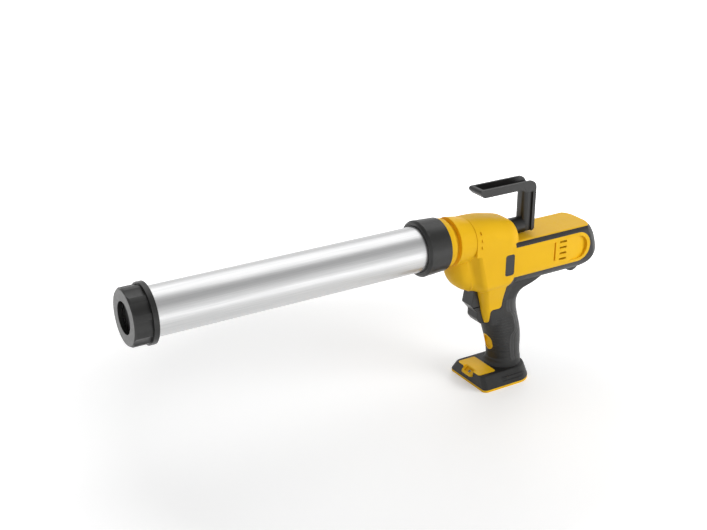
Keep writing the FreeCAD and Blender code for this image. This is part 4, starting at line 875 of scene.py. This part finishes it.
def openings():
    """What is cut through the finished shells: slots, button holes, vents, wells and the battery bay."""
    cuts = [block(*ends) for ends in CUT_BLOCKS]
    cuts.append(form([circle(x, SPIGOT) for x in SPIGOT_ENDS]))
    sleeve = form([circle(x, SLEEVE) for x in SLEEVE_ENDS])
    cuts.append(combine("INTERSECT", sleeve, [block(*SLEEVE_ENDS, -SLEEVE, SLEEVE, -TAIL_TOP, SLEEVE)]))
    cuts.append(form([cross_circle(DIAL_PLACE, y, -DIAL_DROP, DIAL_WELL) for y in DIAL_WELL_SIDES]))
    for hand in (-1, 1):
        cuts.append(form([side(LOCK_HOLE, hand * y) for y in (LOCK_ROOT, WIDE)]))
        for k in range(VENT_SLOTS):
            top = VENT_TOP - k * VENT_PITCH
            cuts.append(block(*VENT_ENDS, *outward(hand, VENT_ROOT), top - VENT_HEIGHT, top))
    for x, z, seat in SCREW_WELLS:
        cuts.append(form([cross_circle(x, y, z, SCREW_WELL) for y in (seat, WIDE)]))
    cuts.append(form([plan(INSERT, z) for z in (INSERT_BASE, INSERT_HOLE_TOP)]))
    return cuts


def scoop(hand):
    """The dished rear end of the side panel: a shallow wedge, cut to a round end."""
    wedge = [
        (SCOOP_FRONT, hand * BODY_HALF, 0), (SCOOP_REAR, hand * (BODY_HALF - SCOOP_DEPTH), 0),
        (SCOOP_REAR, hand * WIDE, 0), (SCOOP_FRONT, hand * WIDE, 0),
    ]
    dish = form([plan(wedge, z) for z in (SCOOP_LOW, SCOOP_TOP)])
    bow = (SCOOP_TOP - SCOOP_LOW) / 2 - NEAR
    start = SCOOP_FRONT - OVERRUN
    edge = [
        (start, SCOOP_LOW, 0), (SCOOP_REAR, SCOOP_LOW, bow),
        (SCOOP_REAR, SCOOP_TOP, bow), (start, SCOOP_TOP, 0),
    ]
    return combine("INTERSECT", dish, [slab(edge, WIDE)])


def side_marks():
    """Slots along the seam, the panel's groove and its dished rear end, on both sides."""
    cuts = []
    for hand in (-1, 1):
        for x0, x1, z0, z1, inner in MARKS:
            cuts.append(block(x0, x1, *outward(hand, inner), z0, z1))
        cuts.append(scoop(hand))
    return cuts


def grip_window(margin, end):
    """The window in the front of the grip, grown by a margin and cut back to an end."""
    half = WINDOW_HALF_WIDTH + margin
    rise = WINDOW_HALF_HEIGHT + margin
    low = WINDOW_MIDDLE - rise
    top = WINDOW_MIDDLE + rise
    bow = half - NEAR
    corners = [(-half, low, bow), (half, low, bow), (half, top, bow), (-half, top, bow)]
    return form([section(corners, x) for x in (WINDOW_FRONT, end)])


def foot_recesses():
    """The long recesses in the foot's leaning flanks."""
    panels = []
    for hand in (-1, 1):
        corners = [(hand * y, height - AXIS, 0) for y, height in RECESS]
        panels.append(form([section(corners, x) for x in RECESS_ENDS]))
    return panels


def make_shells(materials):
    """The two yellow shells and the two black covers, each half cut from one hollow form."""
    parts = [head_form(), lobe_form(0), tail_form(0), grip_form(0), leg_form(0), foot_form()]
    outer = combine("UNION", body_form(0), parts)
    hollow = combine("DIFFERENCE", outer, [cavity_form(), *openings()])
    core = combine("DIFFERENCE", copied(hollow), [black_region(), *side_marks()])
    pane = combine("INTERSECT", copied(hollow), [grip_window(WINDOW_RIM, WINDOW_REAR)])
    pane = combine("DIFFERENCE", pane, [grip_window(0, WINDOW_FLOOR)])
    core = combine("UNION", core, [pane])
    skin = combine("INTERSECT", hollow, [black_region()])
    skin = combine("DIFFERENCE", skin, [grip_window(WINDOW_RIM, WINDOW_REAR), *foot_recesses()])
    for hand, name in ((-1, "left"), (1, "right")):
        ends = outward(hand, SEAM_GAP)
        for shape, label, node, slot in (
            (core, "shell", "housing", "yellow_plastic"), (skin, "cover", "grip_cover", "black_rubber"),
        ):
            half = combine("INTERSECT", copied(shape), [block(-AXIS, 2 * AXIS, *ends, -2 * AXIS, AXIS)])
            dress_piece(half, f"{label}_{name}", "housing", slot, materials)
            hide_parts(f"{node}_{name}")
    for shape in (core, skin):
        bpy.data.objects.remove(shape)


def dress_piece(obj, name, body, slot, materials):
    """Bring a form from tool millimetres to the frame's metres, and finish it as a piece."""
    obj.name = name
    mesh = obj.data
    mesh.name = name
    mesh.transform(Matrix.Translation((NOSE_PLACE * MM, 0.0, AXIS * MM)) @ Matrix.Scale(MM, 4))
    mesh.materials.clear()
    mesh.materials.append(materials[slot].material)
    mesh.shade_smooth()
    mesh.set_sharp_from_angle(angle=SHARP_ANGLE)
    weigh = obj.modifiers.new("weigh", "WEIGHTED_NORMAL")
    weigh.keep_sharp = True
    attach(obj, body)


def soften(obj):
    """Round a piece's sharp edges."""
    edge = obj.modifiers.new("edge", "BEVEL")
    edge.width = EDGE_ROUND
    edge.segments = EDGE_STEPS
    edge.limit_method = "ANGLE"
    edge.angle_limit = SHARP_ANGLE
    graph = bpy.context.evaluated_depsgraph_get()
    mesh = bpy.data.meshes.new_from_object(obj.evaluated_get(graph))
    obj.modifiers.clear()
    obj.data = mesh
    return obj


def make_trigger(materials):
    """The trigger: a finger pull with a nose over its waist, and a stem towards the switch."""
    pull = soften(combine("UNION", slab(TRIGGER, TRIGGER_HALF), [block(*TRIGGER_STEM)]))
    x0, x1, z0, z1, inner = TRIGGER_LINE
    lines = [block(x0, x1, *outward(hand, inner), z0, z1) for hand in (-1, 1)]
    pull = combine("DIFFERENCE", pull, lines)
    dress_piece(pull, "trigger_pull", "trigger", "black_plastic", materials)
    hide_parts("trigger")


def make_hook(materials):
    """The hook: a trough-shaped arm on a slimmer stem with a rear flange, and the sleeve at its root."""
    stem = form([plan(mirrored(HOOK_STEM), z) for z in HOOK_STEM_HEIGHTS])
    keep = combine("UNION", block(*HOOK_ARM), [stem])
    strap = combine("INTERSECT", slab(HOOK_SIDE, HOOK_HALF), [keep])
    strap = combine("DIFFERENCE", strap, [block(*HOOK_TRAY), block(*HOOK_CHANNEL)])
    sleeve = form([circle(x, HOOK_SLEEVE) for x in HOOK_SLEEVE_ENDS])
    sleeve = combine("DIFFERENCE", sleeve, [block(*HOOK_SLEEVE_FLAT)])
    hook = soften(combine("UNION", strap, [sleeve]))
    hook = combine("DIFFERENCE", hook, [form([circle(x, HOOK_BORE) for x in HOOK_BORE_ENDS])])
    dress_piece(hook, "hook_strap", "plunger", "black_plastic", materials)
    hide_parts("hook_handle")


def lamp_block(half_width, half_height, start, end, corner):
    """Return a block along the lamp's beam, which leans up and forward out of the insert's nose."""
    corners = mirrored([(-half_width, -half_height, corner), (half_width, -half_height, corner)])
    along = math.cos(LAMP_TILT)
    across = math.sin(LAMP_TILT)
    base = LAMP_HEIGHT - AXIS
    rings = []
    for x in (start, end):
        rings.append([
            (LAMP_ALONG + x * along + z * across, y, base - x * across + z * along)
            for y, z in outline(corners)
        ])
    return form(rings)


def make_lamp(materials):
    """The yellow insert of the foot with a leaning pocket for the lamp, its board and its lens."""
    insert = form([plan(INSERT, z) for z in (INSERT_BASE, INSERT_TOP)])
    insert = soften(combine("DIFFERENCE", insert, [lamp_block(*LAMP_FACE)]))
    pocket = [lamp_block(*ends) for ends in (LAMP_MOUTH, LAMP_EYE, LAMP_BOARD)]
    insert = combine("DIFFERENCE", insert, pocket)
    for obj, name, node, slot in (
        (insert, "lamp_insert", "foot_insert", "yellow_plastic"),
        (lamp_block(*LAMP_BOARD), "lamp_board", "led_board", "board_green"),
        (soften(lamp_block(*LAMP_LENS)), "lamp_lens", "led_lens", "clear_lens"),
    ):
        dress_piece(obj, name, "housing", slot, materials)
        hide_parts(node)


def make_pieces(materials):
    """The finer forms that stand in for solids of the frame."""
    make_shells(materials)
    make_trigger(materials)
    make_hook(materials)
    make_lamp(materials)


def add_lamp(name, place, aim, width, height, watts):
    """Hang a soft rectangular lamp at a place, aimed at a point."""
    lamp = bpy.data.lights.new(name, "AREA")
    lamp.shape = "RECTANGLE"
    lamp.size = width
    lamp.size_y = height
    lamp.energy = watts
    holder = bpy.data.objects.new(name, lamp)
    holder.location = place
    holder.rotation_euler = (Vector(aim) - Vector(place)).to_track_quat("-Z", "Y").to_euler()
    holder.visible_glossy = name in MIRRORED_LAMPS
    bpy.context.collection.objects.link(holder)


def seen_factor(tree):
    """Return 1 for rays that show a thing, straight or in a mirror or glass, and 0 for its light."""
    path = tree.nodes.new("ShaderNodeLightPath")
    seen = path.outputs[SEEN_RAYS[0]]
    for ray in SEEN_RAYS[1:]:
        most = tree.nodes.new("ShaderNodeMath")
        most.operation = "MAXIMUM"
        tree.links.new(seen, most.inputs[0])
        tree.links.new(path.outputs[ray], most.inputs[1])
        seen = most.outputs["Value"]
    return seen


def map_range(tree, value, start, end, low, high):
    """Return a value stretched from one span to another."""
    node = tree.nodes.new("ShaderNodeMapRange")
    for socket, number in (("From Min", start), ("From Max", end), ("To Min", low), ("To Max", high)):
        node.inputs[socket].default_value = number
    tree.links.new(value, node.inputs["Value"])
    return node.outputs["Result"]


def make_world():
    """A plain studio: white walls where they are seen or mirrored, a greyer ceiling, softer as a light."""
    world = bpy.data.worlds.new("studio")
    bpy.context.scene.world = world
    world.use_nodes = True
    tree = world.node_tree
    background = tree.nodes["Background"]
    coords = tree.nodes.new("ShaderNodeTexCoord")
    split = tree.nodes.new("ShaderNodeSeparateXYZ")
    tree.links.new(coords.outputs["Generated"], split.inputs["Vector"])
    grey = map_range(tree, split.outputs["Z"], *SKY_RISE_SHARES, *SKY_GREY_SHARES)
    tree.links.new(grey, background.inputs["Color"])
    level = map_range(tree, seen_factor(tree), 0.0, 1.0, WORLD_LIGHT, WORLD_SEEN)
    tree.links.new(level, background.inputs["Strength"])


def make_floor():
    """A pale floor that takes the shadow near the object and is plain white further out."""
    mesh = bpy.data.meshes.new("floor")
    shape = bmesh.new()
    bmesh.ops.create_grid(shape, x_segments=1, y_segments=1, size=FLOOR_SIZE / 2)
    shape.to_mesh(mesh)
    shape.free()
    floor = bpy.data.objects.new("floor", mesh)
    bpy.context.collection.objects.link(floor)
    paint = Surface("floor_paint", FLOOR_COLOUR, FLOOR_ROUGHNESS, Specular_IOR_Level=0.0)
    tree = paint.tree
    away = paint.add("ShaderNodeVectorMath", {0: paint.coords}, operation="LENGTH").outputs["Value"]
    glow = map_range(tree, away, FLOOR_GLOW_NEAR, FLOOR_GLOW_FAR, *FLOOR_GLOW_SHARES)
    strength = paint.math("MULTIPLY", glow, seen_factor(tree))
    paint.shader.inputs["Emission Color"].default_value = (1.0, 1.0, 1.0, 1.0)
    tree.links.new(strength, paint.shader.inputs["Emission Strength"])
    mesh.materials.append(paint.material)


def make_camera():
    """The photograph's camera."""
    camera = bpy.data.cameras.new("camera")
    camera.sensor_fit = "HORIZONTAL"
    camera.sensor_width = SENSOR_WIDTH_MM
    camera.lens = FOCAL_LENGTH_PX / PHOTO_WIDTH_PX * SENSOR_WIDTH_MM
    holder = bpy.data.objects.new("camera", camera)
    holder.location = CAMERA_PLACE
    holder.rotation_euler = (math.pi / 2 - CAMERA_ELEVATION, 0.0, CAMERA_AZIMUTH)
    bpy.context.collection.objects.link(holder)
    bpy.context.scene.camera = holder


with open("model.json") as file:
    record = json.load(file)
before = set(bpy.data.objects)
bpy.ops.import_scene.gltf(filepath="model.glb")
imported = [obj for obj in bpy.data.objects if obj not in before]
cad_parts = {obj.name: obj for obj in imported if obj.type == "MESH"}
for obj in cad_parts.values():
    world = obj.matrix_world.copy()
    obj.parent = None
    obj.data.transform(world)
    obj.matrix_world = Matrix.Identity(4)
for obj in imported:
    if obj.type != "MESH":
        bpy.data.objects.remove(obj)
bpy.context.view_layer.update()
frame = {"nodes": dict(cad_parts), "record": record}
bpy.context.scene.view_settings.view_transform = "Standard"
finishes = make_materials()
dress_frame(finishes)
make_pieces(finishes)
make_world()
make_floor()
for lamp_name, setting in LAMPS.items():
    add_lamp(lamp_name, *setting)
make_camera()
